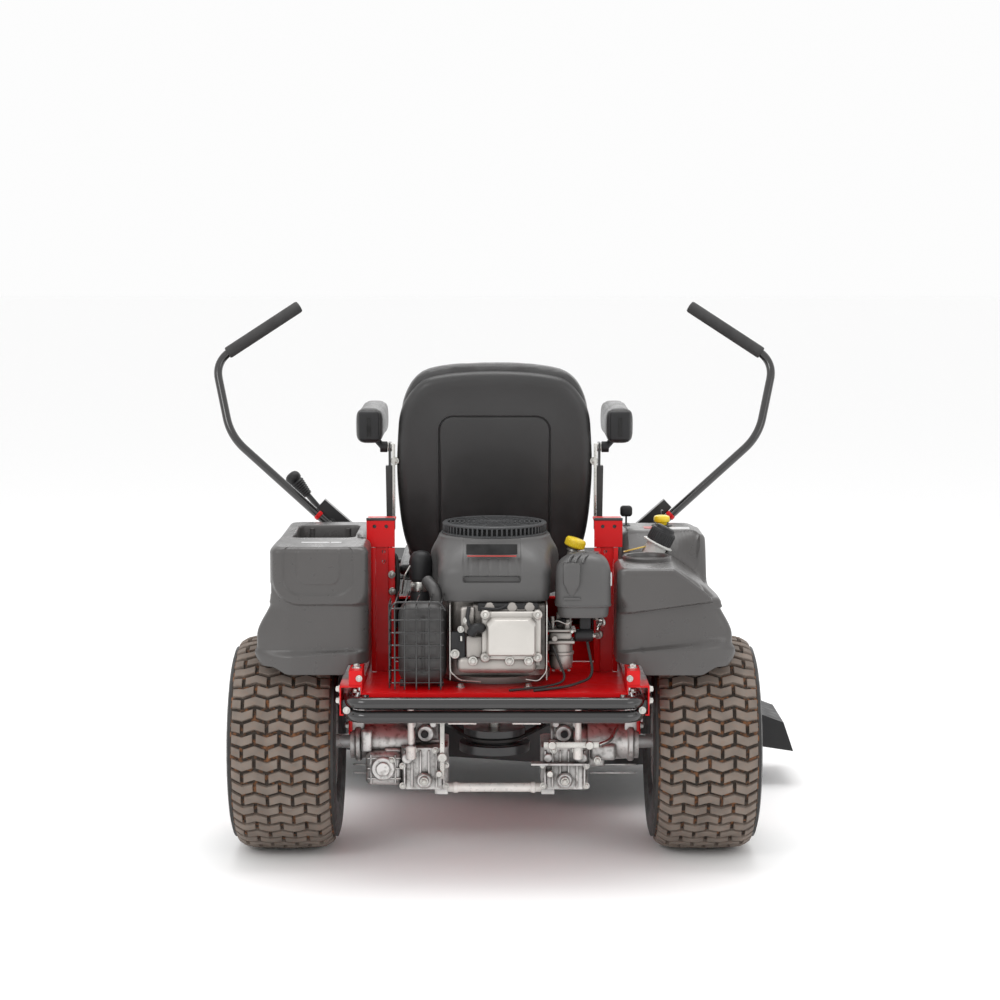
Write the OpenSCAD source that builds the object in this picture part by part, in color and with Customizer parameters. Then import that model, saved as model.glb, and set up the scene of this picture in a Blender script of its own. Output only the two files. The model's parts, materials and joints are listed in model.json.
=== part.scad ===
// Zero-turn mower: a rear-engined ride-on mower with twin blades, steered by two lap bars.
// +X is the operator's right, +Y is forward, +Z is up. The ground is z = 0. Sub-parts are drawn
// about the rear axle's centre, and place() moves the whole machine over the middle of its box.

/* [Chassis] */
// Rear axle to caster pivots
pivot_y = 1325; // [1280:5:1600]
// Width over the two frame rails
frame_w = 632; // [560:2:760]
// Height of the top of the frame rails
frame_top = 400; // [385:1:480]
// Height of a frame rail
rail_h = 61; // [50:1:76]
// Sheet thickness of rails and brackets
sheet_t = 3; // [2:0.5:4]
// Rear end of the rails behind the axle
rear_overhang = 275; // [270:5:330]
// Length of the plate that carries the engine and the seat
plate_len = 875; // [860:5:1050]

/* [Rear wheels] */
// Rear tyre diameter
rear_tyre_d = 458; // [380:2:550]
// Rear tyre width
rear_tyre_w = 228; // [190:2:274]
// Rear rim bead diameter
rear_rim_d = 204; // [180:2:245]
// Axle shaft diameter
axle_d = 30; // [24:1:36]

/* [Casters] */
// Caster tyre diameter
caster_tyre_d = 280; // [233:1:285]
// Caster tyre width
caster_tyre_w = 102; // [85:1:122]
// Caster rim bead diameter
caster_rim_d = 104; // [86:1:125]
// Distance between the two caster pivots
caster_track = 900; // [800:5:1080]
// Wheel centre behind its pivot
caster_trail = 65; // [50:1:78]
// Pivot stem diameter
stem_d = 25; // [20:1:30]

/* [Seat] */
// Seat width
seat_w = 448; // [400:2:470]
// Height of the seat pan
seat_z = 560; // [540:2:600]
// Height of the seat back above the pan
back_h = 473; // [400:1:560]
// Cushion thickness
cushion_t = 62; // [50:1:75]
// Armrest pad length
armrest_len = 300; // [250:5:360]

/* [Engine] */
// Crankshaft axis behind the rear axle
crank_back = 60; // [50:1:72]
// Fan guard diameter
guard_d = 219; // [190:1:225]
// Height of the top of the blower housing
blower_top = 690; // [680:1:720]
// Crankshaft diameter
crank_d = 25.4; // [20:0.1:30]
// Engine drive pulley diameter
drive_pulley_d = 116; // [100:1:130]
// Clutch drum diameter
clutch_d = 150; // [130:1:170]

/* [Deck] */
// Blade length
blade_len = 530; // [450:2:534]
// Distance between blade spindles across the mower
blade_spread = 516; // [512:2:600]
// Distance between blade spindles along the mower
blade_stagger = 160; // [150:2:200]
// Deck centre behind the caster pivots
deck_back = 625; // [600:5:660]
// Height of the deck's lower edge at its lowest setting
deck_z = 100; // [83:1:120]
// Depth of the deck shell
deck_h = 98; // [85:1:110]
// Lift travel of the deck
deck_travel = 50; // [40:1:60]
// Deck pulley diameter
deck_pulley_d = 140; // [120:1:160]

/* [Controls] */
// Lap bar tube diameter
bar_d = 19; // [16:0.5:23]
// Lap bar grip diameter
grip_d = 28; // [24:0.5:33]
// Bumper tube diameter
bumper_d = 25.4; // [20:0.2:26]
// Fuel neck diameter
neck_d = 46; // [38:1:55]

/* [Hidden] */

// Clearances
run_fit = 0.05;   // radial, a shaft turning in its bore
gap = 0.3;        // between pieces that move past each other
tyre_gap = 15;    // around the tyres
eps = 1;          // overshoot of a cut

// Frame
rail_x = frame_w / 2;
rail_bottom = frame_top - rail_h;
rail_flange = 46;
rail_lip = 8;
inner_x = rail_x - rail_flange;
plate_t = 4;
plate_top = frame_top - 14;
plate_y = [-rear_overhang, plate_len - rear_overhang];
beam_w = 60;
mount_h = 31;

// Wheels
axle_z = rear_tyre_d / 2;
wheel_x = rail_x + tyre_gap + rear_tyre_w / 2;
caster_x = caster_track / 2;
caster_r = caster_tyre_d / 2;
caster_y = pivot_y - caster_trail;
crown_t = 8;
crown_z = caster_tyre_d + 8;
head_d = stem_d + 25;
head_bottom = crown_z + crown_t + gap;
rim_inset = 25;

// Engine and transmission
crank_y = -crank_back;
hydro_x = 150;
hydro_y = 30;
hydro_z = axle_z + 85;
hydro_pulley_d = 124;
belt_t = 9;
belt_w = 13;
belt_gap = 0.4;
blower_bottom = 564;
block_w = 220;
guard_h = 24;
baffle_x = 92;
dipstick_at = [150, -48];
dipstick_bend = 600;
dipstick_tilt = 18;
dipstick_top = [
    dipstick_at[0] + 58 * sin(dipstick_tilt), dipstick_at[1],
    dipstick_bend + 58 * cos(dipstick_tilt)
];
filter_x = [125, 245];
muffler_x = [-200, -100];
muffler_y = [-236, -156];

// Deck
deck_y = pivot_y - deck_back;
spindle_x = blade_spread / 2;
spindle_dy = blade_stagger / 2;
blade_reach = sqrt(pow(blade_spread, 2) + pow(blade_stagger, 2)) / 2;
shell_r = blade_reach + 15;
shell_t = 4;
deck_top = deck_z + deck_h;
deck_belt_z = deck_top + 53;
pto_pulley_d = 100;
strap_x = rail_x - rail_lip - gap;
strap_top = frame_top - sheet_t - deck_travel - 1;
roller_d = 100;
roller_y = deck_y + shell_r + spindle_dy + 42;
roller_z = deck_z + 15;
chute_y = deck_y - spindle_dy + 60;
chute_len = 230;
chute_reach = 172;
chute_pin_d = 10;
skirt_x = spindle_x + shell_r;

// Seat
side_x = 253;
head_x = [side_x - 41, side_x + 19];
side_top = seat_z - sheet_t - gap;
seat_y = 150;
seat_front = 590;
seat_pivot = [575, seat_z - 15];
seat_pin_d = 12;
back_lean = 9;
back_y = seat_y + 42;
back_t = 34;
back_pad_t = 62;
armrest_x = [244, 302];
arm_pivot = [172, seat_z + 292];
arm_pin_d = 10;
bracket_t = 5;

// Lap bars, as points of the right bar from its pivot to the end of the grip
bar_y = 335;
bar_pivot = [374, bar_y, 657];
bar_points = [
    [391, bar_y, 672], [602, bar_y + 15, 862], [639, bar_y + 75, 1021],
    [624, bar_y + 85, 1042], [451, bar_y + 115, 1154]
];
bar_pin_d = 10;
arm_axis = [bar_y, 596];
arm_axis_d = 14;
lift_axis = [410, 520];
lift_pin_d = 14;
knob_point = [453, lift_axis[0], 746];

// Fenders
fender_x = [rail_x - 55, wheel_x + 16];
flare_x = wheel_x + 64;
fender_y = [-200, 272];
fender_top = 675;
console_top = fender_top - 2;
fender_knee = 556;
flare_z = [466, 478];
fender_low = 410;
shell_wall = 5;
arch_r = rear_tyre_d / 2 + tyre_gap;
tray_x = [296, 434];
tray_y = [-33, 203];
tray_floor = 605;
console_y = 100;
cup_d = 86;
cup_at = [324, -50];
cup_floor = 560;
shoulder_z = 631;
shoulder_x = 371;
neck_at = [352, 50, 650];
neck_tilt = 27;
cap_d = neck_d + 9;

// Console controls
throttle_at = [294, 222, 650];
throttle_pin_d = 6;
knob_at = [372, 200];
knob_stem_d = 12;
key_at = [376, 248];
key_d = 8;

// Whole machine
left_reach = -bar_points[2][0] - bar_d / 2;
right_reach = max(skirt_x + chute_reach + 3, -left_reach);
rear_reach = -rear_overhang - 40;
front_reach = max(pivot_y - caster_trail + caster_r, pivot_y + beam_w / 2 + 60);

module place() {
    translate([-(left_reach + right_reach) / 2, -(rear_reach + front_reach) / 2, 0]) children();
}

module side(s) { mirror([s < 0 ? 1 : 0, 0, 0]) children(); }

module block(lo, hi) { translate(lo) cube(hi - lo); }

// A cylinder between two heights
module post(at, z, d) { translate([at[0], at[1], z[0]]) cylinder(d = d, h = z[1] - z[0], $fn = 48); }

// A cylinder along X between two places
module rod_x(x, at, d) {
    translate([x[0], at[0], at[1]]) rotate([0, 90, 0]) cylinder(d = d, h = x[1] - x[0], $fn = 48);
}

// A cylinder along Y between two places
module rod_y(y, at, d) {
    translate([at[0], y[1], at[1]]) rotate([90, 0, 0]) cylinder(d = d, h = y[1] - y[0], $fn = 48);
}

// A straight rod between two points
module rod(a, b, d) {
    v = b - a;
    translate(a)
        rotate([0, acos(v[2] / norm(v)), atan2(v[1], v[0])])
            cylinder(d = d, h = norm(v), $fn = 32);
}

// A bent rod through a list of points
module bent_rod(points, d) {
    for (i = [0 : len(points) - 2]) rod(points[i], points[i + 1], d);
    for (i = [1 : len(points) - 2]) translate(points[i]) sphere(d = d * 1.03, $fn = 32);
}

// Rounded rectangle in the plane
module round_rect(lo, hi, r) {
    translate([lo[0] + r, lo[1]]) square([hi[0] - lo[0] - 2 * r, hi[1] - lo[1]]);
    translate([lo[0], lo[1] + r]) square([hi[0] - lo[0], hi[1] - lo[1] - 2 * r]);
    for (x = [lo[0] + r, hi[0] - r], y = [lo[1] + r, hi[1] - r]) translate([x, y]) circle(r, $fn = 32);
}

// A block with rounded upright edges
module round_block(lo, hi, r) {
    translate([0, 0, lo[2]])
        linear_extrude(hi[2] - lo[2]) round_rect([lo[0], lo[1]], [hi[0], hi[1]], r);
}

// An X-Z outline drawn out along Y
module along_y(y) { translate([0, y[1], 0]) rotate([90, 0, 0]) linear_extrude(y[1] - y[0]) children(); }

// A Y-Z outline drawn out along X
module along_x(x) {
    translate([x[0], 0, 0])
        multmatrix([[0, 0, 1, 0], [1, 0, 0, 0], [0, 1, 0, 0], [0, 0, 0, 1]])
            linear_extrude(x[1] - x[0]) children();
}

// A turned profile of [radius, place] points about the X axis, with its place 0 at x
module turned_x(x, at, points) {
    translate([x, at[0], at[1]]) rotate([0, 90, 0]) rotate_extrude($fn = 96) polygon(points);
}

// A belt around pulleys, each [x, y, running radius]
module belt(pulleys, z, thick, wide) {
    translate([0, 0, z - wide / 2])
        linear_extrude(wide)
            difference() {
                hull() for (p = pulleys) translate([p[0], p[1]]) circle(p[2] + thick, $fn = 96);
                hull() for (p = pulleys) translate([p[0], p[1]]) circle(p[2], $fn = 96);
            }
}

// A pulley with a flat-bottomed groove: d is its running diameter
module pulley(at, z, d, wide) {
    post(at, [z - wide / 2 - 1, z + wide / 2 + 1], d - 2 * belt_gap);
    post(at, [z - wide / 2 - 4, z - wide / 2 - 1], d + 2 * belt_t + 6);
    post(at, [z + wide / 2 + 1, z + wide / 2 + 4], d + 2 * belt_t + 6);
}

// ---- Chassis ----

module rail() {
    hanger_y = [-30, 10];
    color("red") {
        along_y([-rear_overhang, pivot_y - beam_w / 2]) {
            translate([rail_x - sheet_t, rail_bottom]) square([sheet_t, rail_h]);
            translate([inner_x, frame_top - sheet_t]) square([rail_flange, sheet_t]);
            translate([rail_x - rail_lip, rail_bottom]) square([rail_lip, sheet_t]);
            translate([inner_x, plate_top - plate_t])
                square([sheet_t, frame_top - plate_top + plate_t]);
        }
        // Fender mount at the rear
        block([inner_x, -rear_overhang + 5, frame_top],
              [inner_x + 27, fender_y[0] + 20, frame_top + mount_h]);
        // Hanger tab that bolts to the transaxle
        difference() {
            block([rail_x - 2 * sheet_t, hanger_y[0], axle_z + 20],
                  [rail_x - sheet_t, hanger_y[1], frame_top - sheet_t]);
            rod_x([rail_x - 3 * sheet_t, rail_x], [-10, rail_bottom - 20], 11);
        }
    }
}

module front_beam() {
    color("red")
        difference() {
            union() {
                block([-caster_x, pivot_y - beam_w / 2, rail_bottom],
                      [caster_x, pivot_y + beam_w / 2, frame_top]);
                for (s = [-1, 1]) post([s * caster_x, pivot_y], [head_bottom, frame_top + 6], head_d);
            }
            block([-caster_x + head_d, pivot_y - beam_w / 2 + sheet_t, rail_bottom + sheet_t],
                  [caster_x - head_d, pivot_y + beam_w / 2 - sheet_t, frame_top - sheet_t]);
            for (s = [-1, 1])
                post([s * caster_x, pivot_y], [head_bottom - eps, frame_top + 7], stem_d + 2 * run_fit);
        }
}

module engine_plate() {
    color("red")
        difference() {
            union() {
                block([-inner_x, plate_y[0], plate_top - plate_t], [inner_x, plate_y[1], plate_top]);
                block([-inner_x + 14, plate_y[0], plate_top - 34],
                      [inner_x - 14, plate_y[0] + sheet_t, plate_top - plate_t]);
            }
            post([0, crank_y], [plate_top - 10, plate_top + 10], 96);
            for (s = [-1, 1]) post([s * hydro_x, hydro_y], [plate_top - 10, plate_top + 10], 40);
        }
}

// Seat post, head plate and the side plate that carries the seat and the controls
module upright() {
    head_top = 712;
    head_bottom_z = 655;
    post_x = [226, side_x];
    plate_front = plate_y[1] - 5;
    color("red") {
        difference() {
            union() {
                along_x([post_x[0], post_x[0] + sheet_t])
                    polygon([[-30, plate_top], [46, plate_top], [46, 708], [-30, 708]]);
                block([post_x[0], -30, plate_top], [post_x[1], -30 + sheet_t, 708]);
                block([head_x[0], -34, head_bottom_z], [head_x[1], -30, head_top]);
                block([head_x[0], -30, head_top - plate_t], [head_x[1], 46, head_top]);
                along_x([side_x - sheet_t, side_x])
                    polygon([
                        [-30, plate_top], [plate_front, plate_top], [plate_front, side_top],
                        [lift_axis[0] + 30, side_top], [arm_axis[0] + 24, arm_axis[1] + 24],
                        [arm_axis[0] - 24, arm_axis[1] + 24], [250, side_top], [46, side_top],
                        [46, 708], [-30, 708]
                    ]);
            }
            for (x = [230, 255]) rod_y([-40, -20], [x, 699], 8);
            for (z = [645, 624]) rod_y([-40, -20], [236, z], 8);
            rod_x([side_x - 10, side_x + 10], seat_pivot, seat_pin_d + 2 * run_fit);
        }
        // Pins for the lap bar arm and the lift lever
        rod_x([side_x, side_x + 44], arm_axis, arm_axis_d);
        rod_x([side_x, side_x + 44], lift_axis, lift_pin_d);
    }
}

module rear_bumper() {
    bend = 34;
    reach = 306;
    back_at = -rear_overhang - 25;
    leg = -rear_overhang + 120;
    r = bumper_d / 2;
    leg_x = reach - r;
    color("dimgray") {
        for (z = [rail_bottom + 30, rail_bottom + 2.5]) {
            rod_x([-leg_x + bend, leg_x - bend], [back_at, z], bumper_d);
            for (s = [-1, 1]) side(s) {
                translate([leg_x - bend, back_at + bend, z])
                    rotate([0, 0, -90])
                        rotate_extrude(angle = 90, $fn = 64) translate([bend, 0]) circle(r, $fn = 32);
                rod_y([back_at + bend, leg], [leg_x, z], bumper_d);
            }
        }
        for (s = [-1, 1]) side(s)
            block([leg_x, -rear_overhang + 30, rail_bottom + 8],
                  [rail_x - sheet_t, leg - 10, rail_bottom + 26]);
    }
}

module floor_pan() {
    front = pivot_y + beam_w / 2;
    color("dimgray")
        along_x([-rail_x, rail_x])
            polygon([
                [plate_y[1] + gap, frame_top], [front, frame_top], [front + 52, frame_top + 70],
                [front + 49, frame_top + 72], [front - 2, frame_top + sheet_t],
                [plate_y[1] + gap, frame_top + sheet_t]
            ]);
    color("black")
        round_block([-rail_x + 30, plate_y[1] + 40, frame_top + sheet_t],
                    [rail_x - 30, front - 20, frame_top + sheet_t + 7], 25);
}

module fender_outline(inset) {
    polygon([
        [fender_x[0] + inset, fender_low - eps * inset], [fender_x[0] + inset, fender_top - inset],
        [fender_x[1] - inset, fender_top - inset], [fender_x[1] - inset, fender_knee],
        [flare_x - inset, flare_z[1]], [flare_x - inset, flare_z[0]],
        [fender_x[1] + 8 - inset, fender_low - eps * inset]
    ]);
}

// The parts of a fender that both sides share: the tyre's arch and the frame's clearance
module fender_cuts() {
    block([fender_x[0] - 20, -40, 0], [head_x[1] + 3, fender_y[1] + 5, fender_top + 5]);
    rod_x([inner_x + 20, flare_x + 50], [0, axle_z], 2 * arch_r);
    block([fender_x[0] - 5, -rear_overhang, fender_low - 30],
          [inner_x + 40, fender_y[1] + 5, frame_top + mount_h]);
    block([inner_x + 20, -150, fender_low - 30], [flare_x + 10, fender_y[1] + 5, flare_z[0]]);
    block([inner_x + 35, fender_y[1] - 30, fender_low - 30], [flare_x + 10, fender_y[1] + 5, 520]);
}

module fender_left() {
    color("dimgray") side(-1)
        difference() {
            union() {
                difference() {
                    along_y(fender_y) fender_outline(0);
                    along_y([fender_y[0] + shell_wall, fender_y[1] - shell_wall])
                        fender_outline(shell_wall);
                }
                round_block([tray_x[0] - shell_wall, tray_y[0] - shell_wall, tray_floor - shell_wall],
                            [tray_x[1] + shell_wall, tray_y[1] + shell_wall, fender_top - 1], 22);
            }
            round_block([tray_x[0], tray_y[0], tray_floor], [tray_x[1], tray_y[1], fender_top + eps], 18);
            fender_cuts();
        }
}

module shoulder_outline(inset) {
    polygon([
        [fender_x[0] - 9 + inset, fender_low - eps * inset],
        [fender_x[0] - 9 + inset, shoulder_z - inset], [shoulder_x, shoulder_z - inset],
        [fender_x[1] - inset, 568 - inset], [flare_x - inset, flare_z[1]],
        [flare_x - inset, flare_z[0]], [fender_x[1] + 8 - inset, fender_low - eps * inset]
    ]);
}

module console_outline(inset) {
    polygon([
        [fender_x[0] + inset, 500], [fender_x[0] + inset, fender_top - 2 - inset],
        [fender_x[1] - 3 - inset, fender_top - 2 - inset], [fender_x[1] - 3 - inset, fender_knee],
        [flare_x - inset, flare_z[1]], [flare_x - inset, 500 - 22]
    ]);
}

module fender_right() {
    color("dimgray")
        difference() {
            union() {
                difference() {
                    union() {
                        along_y(fender_y) shoulder_outline(0);
                        along_y([console_y, fender_y[1]]) console_outline(0);
                    }
                    along_y([fender_y[0] + shell_wall, fender_y[1] - shell_wall])
                        shoulder_outline(shell_wall);
                    along_y([console_y + shell_wall, fender_y[1] - shell_wall])
                        console_outline(shell_wall);
                }
                // Cup holder and the ring around its mouth
                post(cup_at, [cup_floor - shell_wall, shoulder_z - 2], cup_d + 2 * shell_wall);
                post(cup_at, [shoulder_z - 2, shoulder_z + 8], cup_d + 14);
                // Rib and pin of the throttle lever
                block([throttle_at[0] + 7, throttle_at[1] - 16, throttle_at[2] - 12],
                      [throttle_at[0] + 12, throttle_at[1] + 16, console_top - 2]);
                rod_x([throttle_at[0] - 7, throttle_at[0] + 8], [throttle_at[1], throttle_at[2]],
                      throttle_pin_d);
            }
            post(cup_at, [cup_floor, shoulder_z + 9], cup_d);
            translate(neck_at) rotate([0, neck_tilt, 0])
                translate([0, 0, -90]) cylinder(d = neck_d + 2, h = 160, $fn = 48);
            block([throttle_at[0] - 5, throttle_at[1] - 26, console_top - 8],
                  [throttle_at[0] + 5, throttle_at[1] + 26, console_top + eps]);
            post(knob_at, [console_top - 10, console_top + 5], knob_stem_d + 2 * run_fit);
            post(key_at, [console_top - 10, console_top + 5], key_d + 2 * run_fit);
            fender_cuts();
        }
}

module fuel_tank() {
    tank_x = [fender_x[0] + 16, fender_x[1] - 60];
    tank_z = [500, 598];
    color("whitesmoke")
        difference() {
            union() {
                round_block([tank_x[0], 0, tank_z[0]], [tank_x[1], fender_y[1] - 14, tank_z[1]], 18);
                translate(neck_at) rotate([0, neck_tilt, 0])
                    translate([0, 0, -64]) cylinder(d = neck_d, h = 78, $fn = 48);
            }
            round_block([tank_x[0] + 4, 4, tank_z[0] + 4],
                        [tank_x[1] - 4, fender_y[1] - 18, tank_z[1] - 4], 15);
            translate(neck_at) rotate([0, neck_tilt, 0])
                translate([0, 0, -62]) cylinder(d = neck_d - 8, h = 80, $fn = 48);
        }
}

module fuel_cap() {
    color("black")
        translate(neck_at) rotate([0, neck_tilt, 0])
            translate([0, 0, 14 + gap])
                difference() {
                    union() {
                        translate([0, 0, -12]) cylinder(d = cap_d, h = 36, $fn = 48);
                        translate([0, 0, 24]) cylinder(d1 = cap_d, d2 = cap_d - 10, h = 5, $fn = 48);
                    }
                    translate([0, 0, -13]) cylinder(d = neck_d + 2 * gap, h = 13, $fn = 48);
                }
}

module battery() {
    color("black") {
        block([-200, 250, plate_top], [-40, 340, plate_top + 120]);
        for (x = [-180, -60]) post([x, 295], [plate_top + 120, plate_top + 132], 14);
    }
}

// ---- Engine ----

module engine_block() {
    base_z = plate_top;
    color("silver") {
        difference() {
            union() {
                post([0, crank_y], [base_z, base_z + 14], 236);
                round_block([-block_w / 2, crank_y - 90, base_z + 14],
                            [block_w / 2, crank_y + 100, blower_bottom], 30);
                // Cylinder with its fins
                block([-26, -236, base_z + 50], [93, crank_y - 80, base_z + 166]);
                for (i = [0 : 5])
                    block([-44, -224 + i * 12, base_z + 40], [104, -220 + i * 12, base_z + 172]);
                // Dipstick tube socket
                block([block_w / 2 - 10, dipstick_at[1] - 18, base_z + 50],
                      [dipstick_at[0] + 10, dipstick_at[1] + 18, base_z + 80]);
            }
            post([0, crank_y], [base_z - eps, blower_bottom], crank_d + 2 * run_fit);
        }
        // Dipstick tube
        bent_rod([concat(dipstick_at, base_z + 80), concat(dipstick_at, dipstick_bend), dipstick_top], 20);
    }
    // Air baffles beside the cylinder
    color("dimgray")
        for (x = [-baffle_x, baffle_x + 14])
            block([x, -240, base_z + 20], [x + 2, crank_y - 90, blower_bottom]);
}

module valve_cover() {
    z = [448, 546];
    color("gainsboro") {
        along_y([-246, -236]) round_rect([-26, z[0]], [93, z[1]], 10);
        along_y([-266, -246]) round_rect([-16, z[0] + 9], [83, z[1] - 12], 8);
        for (x = [-20, 87], y = [z[0] + 6, z[1] - 6]) rod_y([-252, -246], [x, y], 12);
    }
}

module blower_housing() {
    color("dimgray")
        difference() {
            union() {
                post([0, crank_y], [blower_bottom, blower_top - 50], 274);
                translate([0, crank_y, blower_top - 50])
                    cylinder(d1 = 274, d2 = guard_d + 12, h = 50, $fn = 64);
                round_block([-92, -215, blower_bottom], [108, crank_y, blower_top - 44], 24);
            }
            post([0, crank_y], [blower_bottom - eps, blower_top - 54], 264);
            translate([0, crank_y, blower_top - 54.5])
                cylinder(d1 = 264, d2 = guard_d - 8, h = 50, $fn = 64);
            post([0, crank_y], [blower_top - 10, blower_top + eps], guard_d - 30);
            round_block([-87, -210, blower_bottom - eps], [103, crank_y, blower_top - 49], 20);
        }
}

module fan_guard() {
    r = guard_d / 2;
    color("black")
        translate([0, crank_y, blower_top])
            difference() {
                rotate_extrude($fn = 96)
                    polygon([[r - 7, 0], [r, 0], [r, guard_h - 4], [r - 4, guard_h], [12, guard_h],
                             [0, guard_h], [0, guard_h - 4], [r - 7, guard_h - 4]]);
                for (a = [0 : 15 : 345]) rotate([0, 0, a])
                    block([36, -3, guard_h - 8], [r - 14, 3, guard_h + eps]);
            }
}

module crankshaft() {
    clutch_top = deck_belt_z + 9;
    color("silver")
        difference() {
            union() {
                post([0, crank_y], [clutch_top - 40, blower_top - 40], crank_d);
                pulley([0, crank_y], hydro_z, drive_pulley_d, belt_w);
            }
            post([0, crank_y], [clutch_top - 41, clutch_top - 30], 8);
        }
    // Flywheel with its fan
    color("dimgray")
        difference() {
            union() {
                post([0, crank_y], [blower_bottom + 20, blower_bottom + 50], 210);
                post([0, crank_y], [blower_bottom + 50, blower_top - 32], 90);
                for (a = [0 : 30 : 330]) translate([0, crank_y, 0]) rotate([0, 0, a])
                    block([40, -2, blower_bottom + 48], [98, 2, blower_top - 36]);
            }
            post([0, crank_y], [blower_bottom, blower_top - 40], crank_d);
        }
}

module air_filter() {
    color("dimgray") {
        round_block([filter_x[0], -224, 556], [filter_x[1], -128, 640], 26);
        round_block([filter_x[0] + 8, -216, 640], [filter_x[1] - 8, -136, 661], 22);
        round_block([filter_x[0] + 6, -218, 530], [filter_x[1] - 6, -134, 556], 22);
    }
}

module carburettor() {
    at = [138, -160];
    color("silver") {
        post(at, [420, 452], 46);
        post(at, [452, 476], 54);
        block([at[0] - 27, at[1] - 26, 476], [at[0] + 29, at[1] + 26, 512]);
        post(at, [512, 530], 40);
        block([baffle_x + 16, at[1] - 18, 480], [at[0] - 20, at[1] + 6, 508]);
    }
}

module muffler() {
    color("dimgray") {
        along_y(muffler_y) round_rect([muffler_x[0], plate_top + 6], [muffler_x[1], blower_bottom - 8], 22);
        for (x = [muffler_x[0] + 20, muffler_x[1] - 24])
            block([x, muffler_y[0] + 30, plate_top], [x + 4, muffler_y[1] - 30, plate_top + 8]);
        block([muffler_x[1] - 1, muffler_y[0] + 40, plate_top + 90],
              [-baffle_x, muffler_y[0] + 66, plate_top + 118]);
    }
}

// Wire cage around the muffler: square bars on its rear, outer side and top
module muffler_guard() {
    x = [muffler_x[0] - 16, muffler_x[1] + 2];
    y = [muffler_y[0] - 14, muffler_y[1] + 20];
    z = [plate_top, blower_bottom + 8];
    wire = 3.5;
    rows = 7;
    color("black") {
        along_y([y[0], y[0] + wire]) difference() {
            translate([x[0], z[0]]) square([x[1] - x[0], z[1] - z[0]]);
            for (i = [0 : 4], j = [0 : rows - 1])
                translate([x[0] + wire + i * (x[1] - x[0] - wire) / 5,
                           z[0] + wire + j * (z[1] - z[0] - wire) / rows])
                    square([(x[1] - x[0] - wire) / 5 - wire, (z[1] - z[0] - wire) / rows - wire]);
        }
        along_x([x[0], x[0] + wire]) difference() {
            translate([y[0], z[0]]) square([y[1] - y[0], z[1] - z[0]]);
            for (i = [0 : 4], j = [0 : rows - 1])
                translate([y[0] + wire + i * (y[1] - y[0] - wire) / 5,
                           z[0] + wire + j * (z[1] - z[0] - wire) / rows])
                    square([(y[1] - y[0] - wire) / 5 - wire, (z[1] - z[0] - wire) / rows - wire]);
        }
    }
}

module starter_motor() {
    at = [-160, crank_y];
    color("dimgray") {
        post(at, [470, 586], 44);
        post(at, [586, 600], 32);
        post(at, [600, 640], 40);
        translate([at[0], at[1], 640]) cylinder(d1 = 40, d2 = 26, h = 10, $fn = 48);
        block([at[0] + 10, at[1] - 16, 480], [-block_w / 2, at[1] + 16, 530]);
    }
}

module oil_cap() {
    color("gold")
        translate(dipstick_top) rotate([0, dipstick_tilt, 0]) {
            translate([0, 0, gap]) cylinder(d = 30, h = 12, $fn = 48);
            translate([0, 0, 12 + gap]) cylinder(d = 18, h = 12, $fn = 48);
        }
}

module pto_clutch() {
    top = deck_belt_z + 9;
    bore = crank_d + 2 * run_fit;
    color("dimgray")
        difference() {
            union() {
                post([0, crank_y], [top - 36, top - 18], clutch_d);
                pulley([0, crank_y], deck_belt_z, pto_pulley_d, belt_w);
                post([0, crank_y], [top, top + 14], clutch_d - 20);
            }
            post([0, crank_y], [top - 37, top + 15], bore);
        }
}

// ---- Transmission ----

module transaxle_case() {
    pump_x = [hydro_x - 28, hydro_x + 42];
    horn = rail_x - 2 * sheet_t;
    color("silver") {
        difference() {
            union() {
                // Gear case around the axle
                round_block([100, -64, axle_z - 92], [hydro_x + 50, 86, axle_z - 2], 16);
                round_block([pump_x[0], hydro_y - 46, axle_z - 20],
                            [pump_x[1], hydro_y + 46, axle_z + 56], 14);
                rod_x([hydro_x + 20, horn], [0, axle_z], 74);
                rod_x([100, 134], [0, axle_z - 40], 78);
                post([hydro_x, hydro_y], [axle_z + 50, axle_z + 66], 44);
                // Foot that meets the hanger tab
                block([horn - 30, -24, axle_z + 20], [horn, 4, rail_bottom - 10]);
                // Stay for the cross tube
                block([100, -58, axle_z - 104], [128, -30, axle_z - 80]);
            }
            rod_x([hydro_x + 60, rail_x + 10], [0, axle_z], axle_d + 2 * run_fit);
            post([hydro_x, hydro_y], [axle_z + 10, axle_z + 70], 16 + 2 * run_fit);
        }
        // Upright damper rod and its sleeve
        post([178, -76], [axle_z - 24, axle_z + 6], 20);
        post([178, -76], [axle_z + 6, plate_top - plate_t], 12);
        block([168, -72, axle_z - 24], [188, -64, axle_z + 2]);
    }
}

module transaxle_right() {
    transaxle_case();
    // Bypass arm
    color("silver") block([78, -84, axle_z - 36], [hydro_x + 50, -60, axle_z - 32]);
}

module transaxle_left() {
    side(-1) transaxle_case();
    // Tube that ties the two transaxles
    color("silver") rod_x([-100, 100], [-44, axle_z - 92], 18);
}

module transaxle_pulley() {
    color("black")
        difference() {
            union() {
                pulley([hydro_x, hydro_y], hydro_z, hydro_pulley_d, belt_w);
                post([hydro_x, hydro_y], [axle_z + 20, hydro_z + 20], 16);
                post([hydro_x, hydro_y], [axle_z + 66 + gap, hydro_z - 10], 110);
            }
            for (a = [0 : 60 : 300]) translate([hydro_x, hydro_y, 0]) rotate([0, 0, a])
                post([36, 0], [axle_z + 60, hydro_z + 30], 20);
        }
}

module drive_belt() {
    color("black")
        belt([[0, crank_y, drive_pulley_d / 2], [hydro_x, hydro_y, hydro_pulley_d / 2],
              [-hydro_x, hydro_y, hydro_pulley_d / 2]], hydro_z, belt_t, belt_w);
}

// ---- Wheels ----

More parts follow.
